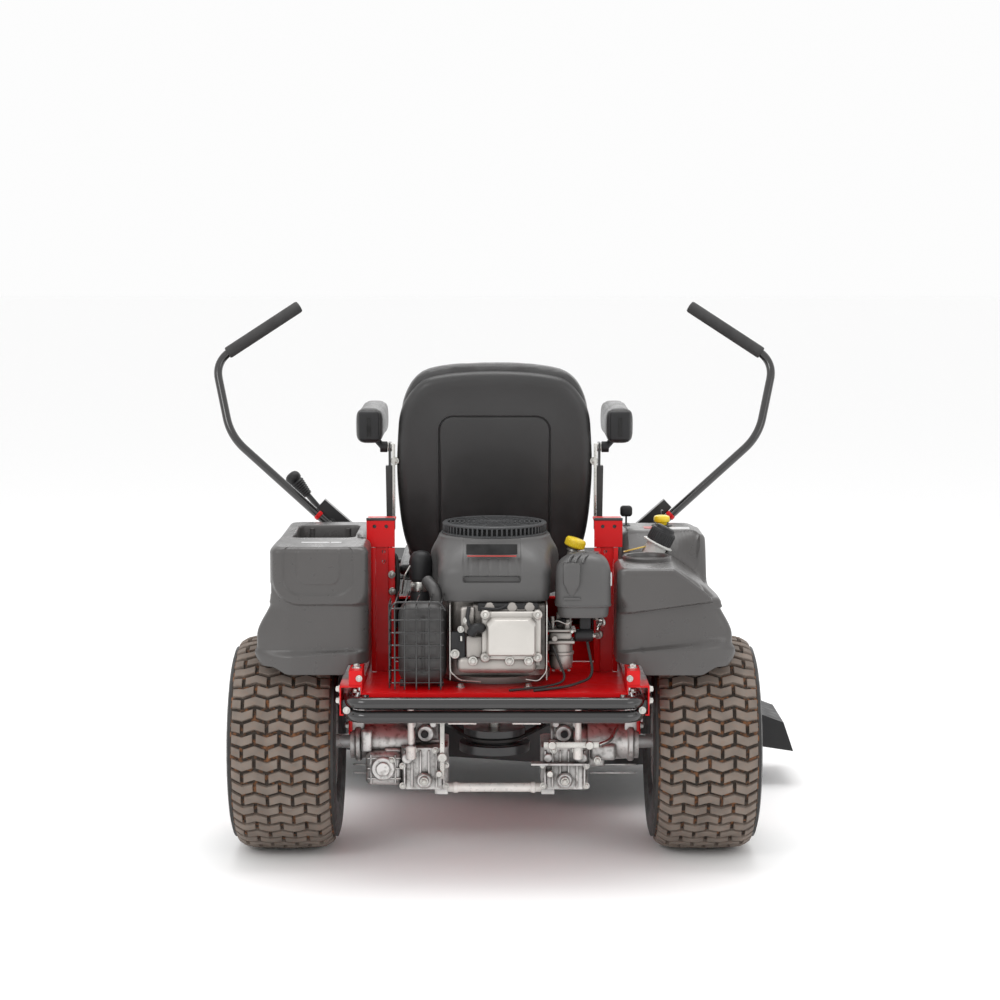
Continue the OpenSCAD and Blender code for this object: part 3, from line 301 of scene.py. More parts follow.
class Form:
    """Collects simple shapes, in design millimetres, into one piece."""

    def __init__(self, mirror=False):
        self.verts, self.faces, self.slots = [], [], []
        self.sign = -1 if mirror else 1

    def add(self, verts, faces, slot=0):
        start = len(self.verts)
        self.verts += [Vector(v) for v in verts]
        self.faces += [tuple(start + i for i in face) for face in faces]
        self.slots += [slot] * len(faces)

    def block(self, low, high, bevel=2.0, segments=2, turn=None, slot=0):
        """A block with rounded edges; turn is (degrees, axis) about its middle."""
        size = Vector(high) - Vector(low)
        middle = (Vector(high) + Vector(low)) / 2
        form = bmesh.new()
        bmesh.ops.create_cube(form, size=1.0)
        for v in form.verts:
            v.co = Vector((v.co.x * size.x, v.co.y * size.y, v.co.z * size.z))
        if bevel:
            width = min(bevel, min(size) * 0.45)
            bmesh.ops.bevel(
                form, geom=form.edges[:], offset=width, segments=segments, profile=0.5, affect="EDGES",
            )
        spin = Matrix.Rotation(math.radians(turn[0]), 3, turn[1]) if turn else Matrix.Identity(3)
        form.verts.index_update()
        faces = [[v.index for v in face.verts] for face in form.faces]
        self.add([spin @ v.co + middle for v in form.verts], faces, slot)
        form.free()

    def loft(self, rings, cap_start=True, cap_end=True, closed=True, slot=0):
        """A skin through rings of equally many points."""
        count = len(rings[0])
        faces = []
        for r in range(len(rings) - 1):
            for i in range(count if closed else count - 1):
                j = (i + 1) % count
                faces.append((r * count + i, r * count + j, (r + 1) * count + j, (r + 1) * count + i))
        if cap_start:
            faces.append(tuple(reversed(range(count))))
        if cap_end:
            faces.append(tuple(range((len(rings) - 1) * count, len(rings) * count)))
        self.add([p for ring in rings for p in ring], faces, slot)

    def turned(self, origin, direction, profile, steps=40, slot=0, caps=True):
        """A shape turned about an axis from a profile of (radius, place along the axis)."""
        along, aside, across = around(direction)
        rings = []
        for radius, where in profile:
            centre = Vector(origin) + along * where
            rings.append([
                centre + (aside * math.cos(a) + across * math.sin(a)) * max(radius, 0.001)
                for a in circle(steps)
            ])
        self.loft(rings, caps, caps, slot=slot)

    def rod(self, start, end, d, steps=28, bevel=0.8, slot=0):
        """A round bar with softened ends."""
        length = (Vector(end) - Vector(start)).length
        r = d / 2
        b = min(bevel, r * 0.4, length * 0.3)
        profile = [(r - b, 0), (r, b), (r, length - b), (r - b, length)]
        self.turned(start, Vector(end) - Vector(start), profile, steps, slot)

    def tube(self, points, d, sides=14, round_end=False, slot=0):
        """A bar bent along a path."""
        points = [Vector(p) for p in points]
        rings = []
        along, aside, across = around(points[1] - points[0])
        for i, point in enumerate(points):
            ahead = points[min(i + 1, len(points) - 1)] - points[max(i - 1, 0)]
            ahead.normalize()
            aside = (aside - ahead * aside.dot(ahead)).normalized()
            across = ahead.cross(aside)
            rings.append([
                point + (aside * math.cos(a) + across * math.sin(a)) * d / 2
                for a in circle(sides)
            ])
        if round_end:
            last, before = points[-1], points[-2]
            ahead = (last - before).normalized()
            for share in (0.35, 0.65, 0.88):
                shrink = math.sqrt(1 - share * share)
                rim = rings[len(points) - 1]
                rings.append([last + (p - last) * shrink + ahead * share * d / 2 for p in rim])
        self.loft(rings, slot=slot)

    def rod_x(self, y, z, start, end, d, *rest):
        """A round bar across the machine."""
        self.rod((start, y, z), (end, y, z), d, *rest)

    def rod_y(self, x, z, start, end, d, *rest):
        """A round bar along the machine."""
        self.rod((x, start, z), (x, end, z), d, *rest)

    def rod_z(self, x, y, start, end, d, *rest):
        """An upright round bar."""
        self.rod((x, y, start), (x, y, end), d, *rest)

    def bent(self, points, radius, d, sides=14, round_end=False, steps=6):
        """A bar along straight runs with rounded corners."""
        self.tube(fillet(points, radius, steps), d, sides, round_end)

    def knurls(self, base, axis, count, radius, low, high, d, bevel):
        """Small ribs round a cap."""
        _, aside, across = around(axis)
        for a in circle(count):
            out = (aside * math.cos(a) + across * math.sin(a)) * radius
            self.rod(base + axis * low + out, base + axis * high + out, d, 8, bevel)

    def bolt(self, where, direction, size=13, washer=True, slot=0):
        """A hexagon head with its washer and a shallow dome."""
        base = Vector(where)
        along = Vector(direction).normalized()
        size *= 0.84
        if washer:
            self.turned(base, along, [(size * 0.82, 0), (size * 0.82, 1.2), (size * 0.76, 1.8)], 28, slot)
        r = size * 0.577
        self.turned(base + along * 1.5, along, [(r, 0), (r, size * 0.42), (r * 0.84, size * 0.52)], 6, slot)
        dome = [(r * 0.62, 0), (r * 0.5, 1.0), (0, 1.4)]
        self.turned(base + along * (1.5 + size * 0.5), along, dome, 20, slot)

    def make(self, name, materials, replaces=(), body="chassis", crease=38, thick=0.0, clean=True):
        """Turns the shapes into one piece, riding on a body when one is named."""
        materials = materials if isinstance(materials, (list, tuple)) else [materials]
        mesh = bpy.data.meshes.new(name)
        mesh.from_pydata([place((v.x * self.sign, v.y, v.z)) for v in self.verts], [], self.faces)
        mesh.polygons.foreach_set("material_index", self.slots)
        form = bmesh.new()
        form.from_mesh(mesh)
        if clean:
            bmesh.ops.remove_doubles(form, verts=form.verts, dist=2e-5)
            bmesh.ops.dissolve_degenerate(form, dist=1e-6, edges=form.edges)
        bmesh.ops.recalc_face_normals(form, faces=form.faces)
        form.to_mesh(mesh)
        form.free()
        for material in materials:
            mesh.materials.append(material)
        mesh.shade_smooth()
        mesh.set_sharp_from_angle(angle=math.radians(crease))
        piece = bpy.data.objects.new(name, mesh)
        bpy.context.scene.collection.objects.link(piece)
        if thick:
            wall = piece.modifiers.new("wall", "SOLIDIFY")
            wall.thickness = thick * MM
            wall.offset = -1
        if body:
            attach(piece, body)
        if replaces:
            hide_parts(*([replaces] if isinstance(replaces, str) else replaces))
        return piece


# ---- Wheels ----

TYRE_R = 229
TREAD_HALF = 101
LUG_DEPTH = 8
ROWS = 54
ZIGZAG = 52


def crown(x, r=TYRE_R):
    """Radius of the tread's outer surface at a distance x from the tyre's middle."""
    return r - 2.0 * (x / 68) ** 2 - 16 * clamp((abs(x) - 74) / 34) ** 1.7


def sidewall_profile(side):
    """(radius, place) from the tread's edge to the bead on one side."""
    points = [
        (crown(104) - LUG_DEPTH, 104), (204, 109), (192, 112.6), (176, 114), (160, 113.2), (146, 109),
        (138, 107.5), (134, 109), (130, 107), (118, 98), (108, 92), (104, 90),
    ]
    return [(r, side * x) for r, x in points]


def rear_tyre(side, word):
    """Turf tyre: a dark carcass with chevron blocks standing on it in staggered rows."""
    body = f"rear_wheel_{word}"
    centre = (side * WHEEL_X, 0, AXLE_Z)
    carcass = Form()
    band = [(crown(x) - LUG_DEPTH, x) for x in (-104, -96, -80, -60, -30, 0, 30, 60, 80, 96, 104)]
    carcass.turned(centre, RIGHT, band, 144, 0, caps=False)
    for s in (-1, 1):
        carcass.turned(centre, RIGHT, sidewall_profile(s), 144, 1, caps=False)
    carcass.make(f"tyre_carcass_{word}", [GROOVE, SIDEWALL], f"rear_tyre_{word}", crease=50, body=body)

    lugs = Form()
    pitch = math.tau / ROWS
    depth_angle = 18.2 / TYRE_R
    wobble = random.Random(7 if side < 0 else 11)

    def zigzag(x):
        share = abs((x / ZIGZAG) % 1 - 0.5) * 2
        return (share - 0.5) * 8.5 / TYRE_R

    def point(x, angle, radius):
        return (centre[0] + x, centre[1] + math.sin(angle) * radius, centre[2] + math.cos(angle) * radius)

    def block(x0, x1, angle):
        """One block between two places across the tread, with tapered walls."""
        count = max(2, int(round((x1 - x0) / 11)) + 1)
        marks = [mix(x0, x1, i / (count - 1)) for i in range(count)]
        turn = [ZIGZAG * k / 2 for k in range(-5, 6) if x0 + 3 < ZIGZAG * k / 2 < x1 - 3]
        marks = sorted(set([x0, x1] + turn + [m for m in marks if all(abs(m - t) > 5 for t in turn)]))
        jitter = wobble.uniform(-0.3, 0.3)

        def edge(inset, drop, far):
            ring = []
            for m in marks:
                x = clamp(m, x0 + inset, x1 - inset)
                a = angle + zigzag(m) + (depth_angle if far else 0) + (-inset if far else inset) / TYRE_R
                ring.append(point(x, a, crown(x) - drop))
            return ring

        layers = []
        for inset, drop in ((-0.8, LUG_DEPTH + 1), (0.0, 1.2 + jitter), (1.1, jitter)):
            layers.append(edge(inset, drop, False) + list(reversed(edge(inset, drop, True))))
        verts = [p for layer in layers for p in layer]
        n = len(layers[0])
        faces = []
        for level in range(2):
            for i in range(n):
                j = (i + 1) % n
                faces.append((level * n + i, level * n + j, (level + 1) * n + j, (level + 1) * n + i))
        top = 2 * n
        for i in range(len(marks) - 1):
            faces.append((top + i, top + i + 1, top + n - 2 - i, top + n - 1 - i))
        lugs.add(verts, faces)

    for row in range(ROWS):
        angle = row * pitch
        offset = 0 if row % 2 else ZIGZAG / 2
        for k in range(-3, 4):
            middle = k * ZIGZAG + offset
            x0, x1 = max(middle - 22.2, -TREAD_HALF), min(middle + 22.2, TREAD_HALF)
            if x1 - x0 > 10:
                block(x0, x1, angle)
    lugs.make(f"tyre_tread_{word}", TREAD, crease=30, body=body)

    # Hub cap, wheel nuts and valve
    trim = Form()
    face = WHEEL_X + 49
    trim.turned((side * face, 0, AXLE_Z), (side, 0, 0), [(27, -2), (27, 7), (22, 12), (0, 13)], 36)
    for a in circle(5):
        trim.bolt((side * (face - 4), -math.sin(a) * 52, AXLE_Z + math.cos(a) * 52), (side, 0, 0), 17)
    trim.rod((side * (WHEEL_X + 30), 0, AXLE_Z - 84), (side * (WHEEL_X + 62), 0, AXLE_Z - 80), 8, 16)
    trim.make(f"hub_trim_{word}", ZINC, body=body)


def front_tyre(side, word):
    """Ribbed caster tyre."""
    centre = (side * CASTER_X, CASTER_Y, CASTER_R)
    half = []
    for x in range(0, 40):
        cut = 3.2 * sum(smooth(abs(x - g), 2.6, 1.2) for g in (8.5, 22, 35))
        half.append((CASTER_R - 3.4 * (x / 30) ** 2 - cut, x))
    half += [
        (131, 43), (124, 47), (114, 50.3), (100, 51), (86, 49.5), (78, 49), (74, 47.8), (64, 43), (55, 40.8),
        (52, 39),
    ]
    profile = [(r, -x) for r, x in reversed(half[1:])] + half
    form = Form()
    form.turned(centre, RIGHT, profile, 120, caps=False)
    wheel = f"front_wheel_{word}"
    form.make(f"ribbed_tyre_{word}", CASTER_RUBBER, f"front_tyre_{word}", crease=60, body=wheel)
    hub = Form()
    for s in (-1, 1):
        hub.bolt((side * CASTER_X + s * 74, CASTER_Y, CASTER_R), (s, 0, 0), 19)
    hub.bolt((side * CASTER_X, 1325, 428.6), UP, 24, washer=False)
    hub.make(f"caster_nuts_{word}", ZINC, body=f"caster_{word}")


# ---- Fenders ----

FENDER_Y = (-200, 272)
FENDER_OUT = 461
FLARE_X = 494
ARCH_R = 244
EDGE_R = 13


def fender_low(x, y):
    """Height of a fender's lower edge: over the frame, over the lip and along the wheel arch."""
    lip = mix(410, 424, smooth(x, 425, 462))
    base = mix(431, lip, smooth(x, 300, 313))
    base = mix(base, 466, smooth(y, -176, -138) * smooth(x, 285, 305))
    base = mix(base, 520, smooth(y, 240, 252) * smooth(x, 300, 312))
    arch = AXLE_Z + math.sqrt(max(ARCH_R**2 - y * y, 0)) if abs(y) < ARCH_R and x > 300 else 0
    return max(base, arch)


def flare(y, z):
    """How far the side bulges out over the wheel."""
    tall = smooth(z, 572, 486) * mix(0.45, 1.0, smooth(z, 405, 452))
    return (FLARE_X - FENDER_OUT) * tall * smooth(y, -226, -168) * mix(1, 0.75, smooth(y, 200, 272))


def rounded(x, y, low, high, radius):
    """Pulls a point of a rectangle's edge onto its rounded corner."""
    cx = clamp(x, low[0] + radius, high[0] - radius)
    cy = clamp(y, low[1] + radius, high[1] - radius)
    away = Vector((x - cx, y - cy))
    if abs(away.x) < 1e-6 or abs(away.y) < 1e-6:
        return x, y
    away = away.normalized() * radius
    return cx + away.x, cy + away.y


def side_marks(low, high, counts):
    """Points round a rectangle: rear side, outer side, front side, inner side."""
    rear, outer, front, inner = counts
    marks = [(mix(low[0], high[0], i / rear), low[1]) for i in range(rear)]
    marks += [(high[0], mix(low[1], high[1], i / outer)) for i in range(outer)]
    marks += [(mix(high[0], low[0], i / front), high[1]) for i in range(front)]
    marks += [(low[0], mix(high[1], low[1], i / inner)) for i in range(inner)]
    return marks


def strips(name, material, *blocks, mirror=False, body="chassis"):
    """Plain thin plates where the real machine has stickers, each given as a block."""
    form = Form(mirror)
    for block in blocks:
        form.block(*block)
    form.make(name, material, body=body)


def panel_depth(x, z, low, high, radius):
    """Distance inside a rounded rectangle, negative outside."""
    dx = max(low[0] + radius - x, x - high[0] + radius, -1e9)
    dz = max(low[1] + radius - z, z - high[1] + radius, -1e9)
    outside = math.hypot(max(dx, 0), max(dz, 0))
    return radius - outside if outside > 0 else radius - max(dx, dz)


def left_relief(x, z):
    """How far the left fender's rear face stands out: a panel with a U channel, and a lower lip."""
    panel = panel_depth(x, z, (200, 554), (461, 900), 62)
    height = 7.5 * smooth(panel, -3, 5)
    channel = smooth(panel_depth(x, z, (291, 575), (436, 900), 38), -1.5, 1.5)
    pad = smooth(panel_depth(x, z, (319, 598), (407, 900), 20), -1.5, 1.5)
    height -= 3.2 * (channel - pad) * smooth(panel, 2, 8)
    crease = mix(457, 445, smooth(x, 300, 440))
    height += 11 * smooth(z, 462, crease - 2)
    return height


def right_relief(x, z):
    """The right fender's rear face: a crease that climbs outwards, and a lower lip."""
    crease = 535 + (x - 257) * 0.136
    height = 13 * smooth(z, crease - 2, crease + 3)
    high = 458 + (x - 267) * 0.155
    low = min(high - 4, 457 + (x - 270) * 0.03)
    return height + 15 * smooth(z, high + 2, low)


def fender(side, word, inner, top_at, relief, hole, hole_radius, floor):
    """A moulded fender: rings climb its walls, round its edge, cross its top and go down into its hollow."""
    form = Form(mirror=side < 0)
    counts = (84, 84, 36, 48)
    low, high = (inner, FENDER_Y[0]), (FENDER_OUT, FENDER_Y[1])
    marks = side_marks(low, high, counts)
    hole_marks = side_marks(hole[0], hole[1], counts)

    def held(x, y):
        """Keeps the inner wall clear of the seat post."""
        return max(x, mix(inner, 277, smooth(y, -58, -44))), y

    def wall_point(x, y, share, inset=0.0, lift=0.0):
        edge_z = top_at(x, y) - EDGE_R
        start = fender_low(x, y)
        z = mix(start, edge_z, share)
        corner = mix(mix(40, 46, smooth(z, 470, 440)), 17, smooth(z, 545, 580))
        px, py = rounded(x, y, low, high, corner)
        out = flare(py, z) * smooth(px, FENDER_OUT - 40, FENDER_OUT)
        behind = smooth(py, FENDER_Y[0] + 30, FENDER_Y[0])
        rise = relief(px, z) * behind
        beside = relief(inner + 80, z) * 0.8 * smooth(px, FENDER_OUT - 30, FENDER_OUT) * (1 - behind)
        px += out + beside * smooth(py, 40, -120) * 0.6
        py -= rise - 7.5 * behind
        px, py = held(px, py)
        if inset:
            middle = Vector(((low[0] + high[0]) / 2, (low[1] + high[1]) / 2))
            px += inset * clamp((middle.x - px) / 60, -1, 1)
            py += inset * clamp((middle.y - py) / 60, -1, 1)
        return px, py, z + lift

    levels = 120
    rings = [[wall_point(x, y, i / levels) for x, y in marks] for i in range(levels + 1)]
    for k in range(1, 6):
        a = math.pi / 2 * k / 5
        rings.append([
            wall_point(x, y, 1, EDGE_R * (1 - math.cos(a)), EDGE_R * math.sin(a)) for x, y in marks
        ])
    rim = rings[-1]
    mouth = [rounded(x, y, hole[0], hole[1], hole_radius) for x, y in hole_marks]
    for k in range(1, 13):
        t = k / 12
        ring = []
        for (x, y, z), (hx, hy) in zip(rim, mouth):
            px, py = mix(x, hx, t), mix(y, hy, t)
            pz = mix(z, top_at(px, py), smooth(t, 0, 0.12))
            ring.append((px, py, pz))
        rings.append(ring)
    centre = Vector(((hole[0][0] + hole[1][0]) / 2, (hole[0][1] + hole[1][1]) / 2))
    for inset, drop in ((0, 0), (1.5, 0.6), (3, 2.5), (4, 6), (5, 30), (6, None), (9, None), (30, None)):
        ring = []
        for hx, hy in mouth:
            away = Vector((hx, hy)) - centre
            at = centre + away * max(0.0, 1 - inset / away.length)
            deep = top_at(hx, hy) - drop if drop is not None else floor + (4 if inset == 6 else 0)
            ring.append((at.x, at.y, max(deep, floor)))
        rings.append(ring)
    form.loft(rings, cap_start=False, cap_end=True)
    form.make(f"fender_skin_{word}", FENDER, f"fender_{word}", crease=60, thick=3.5, clean=False)


def left_top(x, y):
    return 675


def right_top(x, y):
    """Shoulder with the cup holder behind, console in front."""
    shoulder = 631 - 63 * clamp((x - 371) / 90) ** 1.15 if x > 371 else 631
    console = 673 - 10 * clamp((x - 440) / 30)
    return mix(shoulder, console, smooth(y, 58, 116))


def fenders():
    fender(-1, "left", 261, left_top, left_relief, ((296, -33), (434, 203)), 24, 607)
    cup = ((281, -93), (367, -7))
    fender(1, "right", 253, right_top, right_relief, cup, 43, 562)
    ribs = Form(mirror=True)
    for x in (325, 405):
        ribs.rod_z(x, 200, 612, 668, 12, 20)
    ribs.make("tray_ribs", FENDER)
    pair = [((x0, -121, 674.6), (x1, -108, 675.5), 0.3) for x0, x1 in ((345, 404), (320, 342))]
    strips("plain_strip_left", LABEL, *pair, mirror=True)
    ring = Form()
    ring.turned(
        (324, -50, 628), UP, [(42, 0), (42.5, 8), (45, 11.5), (49, 12), (52, 9), (52.5, 2)], 64, caps=False
    )
    ring.make("cup_ring", FENDER)
    strips("plain_label_console", LABEL_YELLOW, ((278, 40, 640.8), (334, 54, 642.2), 0.3, 2, (-14, "Y")))
    strips("plain_label_red_top", LABEL_RED, ((330, 150, 672.8), (366, 190, 673.7), 0.3))
    strips("plain_label_top", LABEL, ((386, 140, 672.8), (430, 176, 673.7), 0.3))
    bolts = Form()
    for s in (-1, 1):
        bolts.bolt((s * 283, -235, 431), UP, 15)
        bolts.bolt((s * 276, -271, 415), REAR, 10)
    bolts.make("fender_bolts", ZINC)


# ---- Seat ----

BACK_FOOT = Vector((0, 192, SEAT_Z + 14))
BACK_LEAN = math.radians(9)
BACK_OUTLINE = [
    (0, 2), (120, 2), (172, 12), (200, 44), (216, 110), (224, 215), (221, 310), (211, 388), (176, 446),
    (112, 468), (0, 475),
]


def on_back(x, y, z):
    """A point of the leaning seat back: y = 0 is its rear face and z runs up it."""
    return BACK_FOOT + Matrix.Rotation(BACK_LEAN, 3, "X") @ Vector((x, y, z))


def even_loop(half, count):
    """A closed smooth loop of evenly spaced points, mirrored from its right half."""
    left = [(-x, z) for x, z in reversed(half[1:-1])]
    corners = [Vector(p) for p in half + left]
    fine = []
    n = len(corners)
    for i in range(n):
        a, b, c, d = (corners[(i + k) % n] for k in (-1, 0, 1, 2))
        for k in range(16):
            t = k / 16
            bend, twist = 2 * a - 5 * b + 4 * c - d, 3 * b - a - 3 * c + d
            fine.append(0.5 * ((2 * b) + (c - a) * t + bend * t * t + twist * t**3))
    lengths = [0.0]
    for p, q in zip(fine, fine[1:] + fine[:1]):
        lengths.append(lengths[-1] + (q - p).length)
    loop, at = [], 0
    for i in range(count):
        want = lengths[-1] * i / count
        while lengths[at + 1] < want:
            at += 1
        share = (want - lengths[at]) / (lengths[at + 1] - lengths[at])
        loop.append(fine[at].lerp(fine[(at + 1) % len(fine)], share))
    return loop


def inset_loop(loop, sides, top=None):
    """The loop moved inwards, by one amount at its sides and another at its top."""
    result = []
    n = len(loop)
    top = sides if top is None else top
    for i, p in enumerate(loop):
        ahead = loop[(i + 1) % n] - loop[i - 1]
        inward = Vector((-ahead.y, ahead.x)).normalized()
        result.append(p + inward * mix(sides, top, smooth(p.y, 330, 455)))
    return result


def seat_shell():
    """Moulded back of the seat, with a rounded rim and a grooved centre panel, and the cushion's tray."""
    form = Form()
    loop = inset_loop(even_loop(BACK_OUTLINE, 240), 9, 26)
    rings = [[on_back(p.x, 30, p.y) for p in loop], [on_back(p.x, 18, p.y) for p in loop]]
    for k in range(1, 9):
        a = math.pi / 2 * k / 8
        ring = inset_loop(loop, 20 * (1 - math.cos(a)))
        rings.append([on_back(p.x, 18 - 18 * math.sin(a), p.y) for p in ring])
    rim = inset_loop(loop, 20)
    panel = []
    for p in rim:
        # The matching point of the panel's edge, by direction from its middle
        away = Vector((p.x, p.y - 190))
        reach = min(124 / max(abs(away.x), 1e-6), 164 / max(abs(away.y), 1e-6))
        x, z = rounded(away.x * reach, away.y * reach + 190, (-124, 26), (124, 354), 34)
        panel.append(Vector((x, z)))
    for k in range(1, 15):
        t = k / 15
        ring = [a.lerp(b, t) for a, b in zip(rim, panel)]
        rings.append([on_back(p.x, 2.5 * math.sin(math.pi * t) - 0.5, p.y) for p in ring])
    middle = Vector((0, 190))
    for inset, depth in ((0, 0), (1.0, 1.6), (2.2, 4.6), (3.8, 5.0), (5.4, 3.4), (7.5, 2.4), (10, 2.2)):
        moved = [p + (middle - p).normalized() * inset for p in panel]
        rings.append([on_back(p.x, depth, p.y) for p in moved])
    for t in (0.2, 0.4, 0.6, 0.8, 0.95):
        moved = [p.lerp(middle, t) for p in panel]
        rings.append([on_back(p.x, 2.2, p.y) for p in moved])
    form.loft(rings, cap_start=True, cap_end=True)
    form.block((-214, 212, SEAT_Z), (214, 602, SEAT_Z + 24), 20, 4)
    form.make("seat_shell_skin", SHELL, "seat_shell", crease=50, body="seat")


def soften(piece, voxel, cap, pressure=4.0):
    """Swells a closed piece as cloth over foam, by at most cap millimetres, and keeps the result."""
    scene = bpy.context.scene
    remesh = piece.modifiers.new("remesh", "REMESH")
    remesh.mode = "VOXEL"
    remesh.voxel_size = voxel * MM
    graph = bpy.context.evaluated_depsgraph_get()
    start = bpy.data.meshes.new_from_object(piece.evaluated_get(graph))
    piece.modifiers.clear()
    piece.data = start
    before = [v.co.copy() for v in start.vertices]
    cloth = piece.modifiers.new("cloth", "CLOTH")
    cloth.settings.quality = 5
    cloth.settings.use_pressure = True
    cloth.settings.uniform_pressure_force = pressure
    cloth.settings.effector_weights.gravity = 0
    cloth.settings.tension_stiffness = 20
    cloth.settings.bending_stiffness = 1.5
    cloth.point_cache.frame_start = 1
    cloth.point_cache.frame_end = 20
    for number in range(1, 21):
        scene.frame_set(number)
    graph = bpy.context.evaluated_depsgraph_get()
    swollen = bpy.data.meshes.new_from_object(piece.evaluated_get(graph))
    piece.modifiers.clear()
    for old, v in zip(before, swollen.vertices):
        move = v.co - old
        if move.length > cap * MM:
            v.co = old + move.normalized() * cap * MM
    piece.data = swollen
    scene.frame_set(1)
    piece.data.shade_smooth()
    return piece


def sew(piece, depth_of):
    """One subdivision, then the seams: depth_of gives how far each design point sinks, in millimetres."""
    divide = piece.modifiers.new("subdivide", "SUBSURF")
    divide.levels = divide.render_levels = 1
    graph = bpy.context.evaluated_depsgraph_get()
    mesh = bpy.data.meshes.new_from_object(piece.evaluated_get(graph))
    piece.modifiers.clear()
    normals = [v.normal.copy() for v in mesh.vertices]
    for v, normal in zip(mesh.vertices, normals):
        v.co -= normal * depth_of((v.co - SHIFT) / MM, normal) * MM
    mesh.shade_smooth()
    piece.data = mesh
    return piece


def groove(distance, depth, width):
    return depth * math.exp(-(distance / width) ** 2)


def cushions():
    """The seat cushion, the back pad and the armrests, each swollen as cloth and then sewn."""
    form = Form()
    form.block((-206, 262, SEAT_Z + 30), (206, 598, SEAT_Z + 72), 20, 4)
    cushion = form.make("cushion_cover", VINYL, "seat_cushion", body="seat")
    soften(cushion, 6, 13)

    def cushion_seams(p, normal):
        sunk = 0.0
        if normal.z > 0.2:
            sunk += groove(abs(p.x) - 118, 5.5, 6)
            for y in (352, 432, 512):
                sunk += groove(p.y - y, 4.5, 6) * smooth(abs(p.x), 124, 112)
        return sunk + groove(p.z - (SEAT_Z + 48), 2.5, 4) * (1 - abs(normal.z))

    sew(cushion, cushion_seams)

    form = Form()
    loop = even_loop(BACK_OUTLINE, 96)
    rings = []
    for inset, y in ((30, 20), (14, 22), (5, 30), (4, 52), (10, 74), (26, 84), (60, 86)):
        rings.append([on_back(p.x, y, max(p.y, 56)) for p in inset_loop(loop, inset)])
    form.loft(rings)
    pad = form.make("back_pad_cover", VINYL, "seat_back_pad", body="seat")
    soften(pad, 6, 9)

    def pad_seams(p, normal):
        up = (p.z - BACK_FOOT.z) / math.cos(BACK_LEAN)
        sunk = 0.0
        if normal.y > 0.2:
            sunk += groove(abs(p.x) - 112, 5.5, 6) * smooth(up, 40, 60)
            for z in (150, 240, 330, 400):
                sunk += groove(up - z, 4.5, 6) * smooth(abs(p.x), 118, 106)
        return sunk

    sew(pad, pad_seams)

    for s, word in SIDES:
        form = Form(mirror=s < 0)
        form.block((245, 133, SEAT_Z + 302), (303, 427, SEAT_Z + 379), 17, 4)
        rest = form.make(f"armrest_cover_{word}", VINYL, f"armrest_{word}", body=f"armrest_{word[0]}")
        soften(rest, 5, 3)

        def rest_seams(p, normal):
            return groove(abs(abs(p.x) - 274) - 20, 1.2, 2.2) * smooth(normal.z, 0.1, 0.5)

        sew(rest, rest_seams)
        core = Form(mirror=s < 0)
        core.block((252, 127, SEAT_Z + 308), (297, 140, SEAT_Z + 373), 9, 4)
        core.rod_x(172, SEAT_Z + 292, 236, 252, 24)
        core.rod((246, 172, SEAT_Z + 292), (264, 176, SEAT_Z + 312), 14)
        core.make(f"armrest_core_{word}", BLACK_PLASTIC, body=f"armrest_{word[0]}")
        # A dark plate in the armrest's slot: painted shade for the slot's hollow
        slot = Form(mirror=s < 0)
        slot.block((270, 125.8, SEAT_Z + 318), (279, 127.6, SEAT_Z + 360), 0.5)
        slot.make(f"armrest_slot_shade_{word}", SHADE_AND_LABEL_BLACK, body=f"armrest_{word[0]}")
        channel = Form(mirror=s < 0)
        rings = []
        for x0, x1, up in ((226, 239, 252), (225, 239, 246), (226, 236, 40), (227, 235, 30)):
            rings.append([(x, y, SEAT_Z + up) for x, y in ((x0, 150), (x1, 147), (x1, 170), (x0, 176))])
        channel.loft(rings)
        channel.make(f"armrest_channel_{word}", SHELL, body="seat")
        strap = Form(mirror=s < 0)
        strap.rod_x(168, SEAT_Z + 292, 226, 235, 20)
        strap.block((219, 148, SEAT_Z + 110), (224.5, 172, SEAT_Z + 300), 1)
        strap.bolt((219, 158, SEAT_Z + 262), (0, -1, 0.2), 13)
        strap.make(f"armrest_bracket_{word}", ZINC, body="seat")


# ---- Engine ----


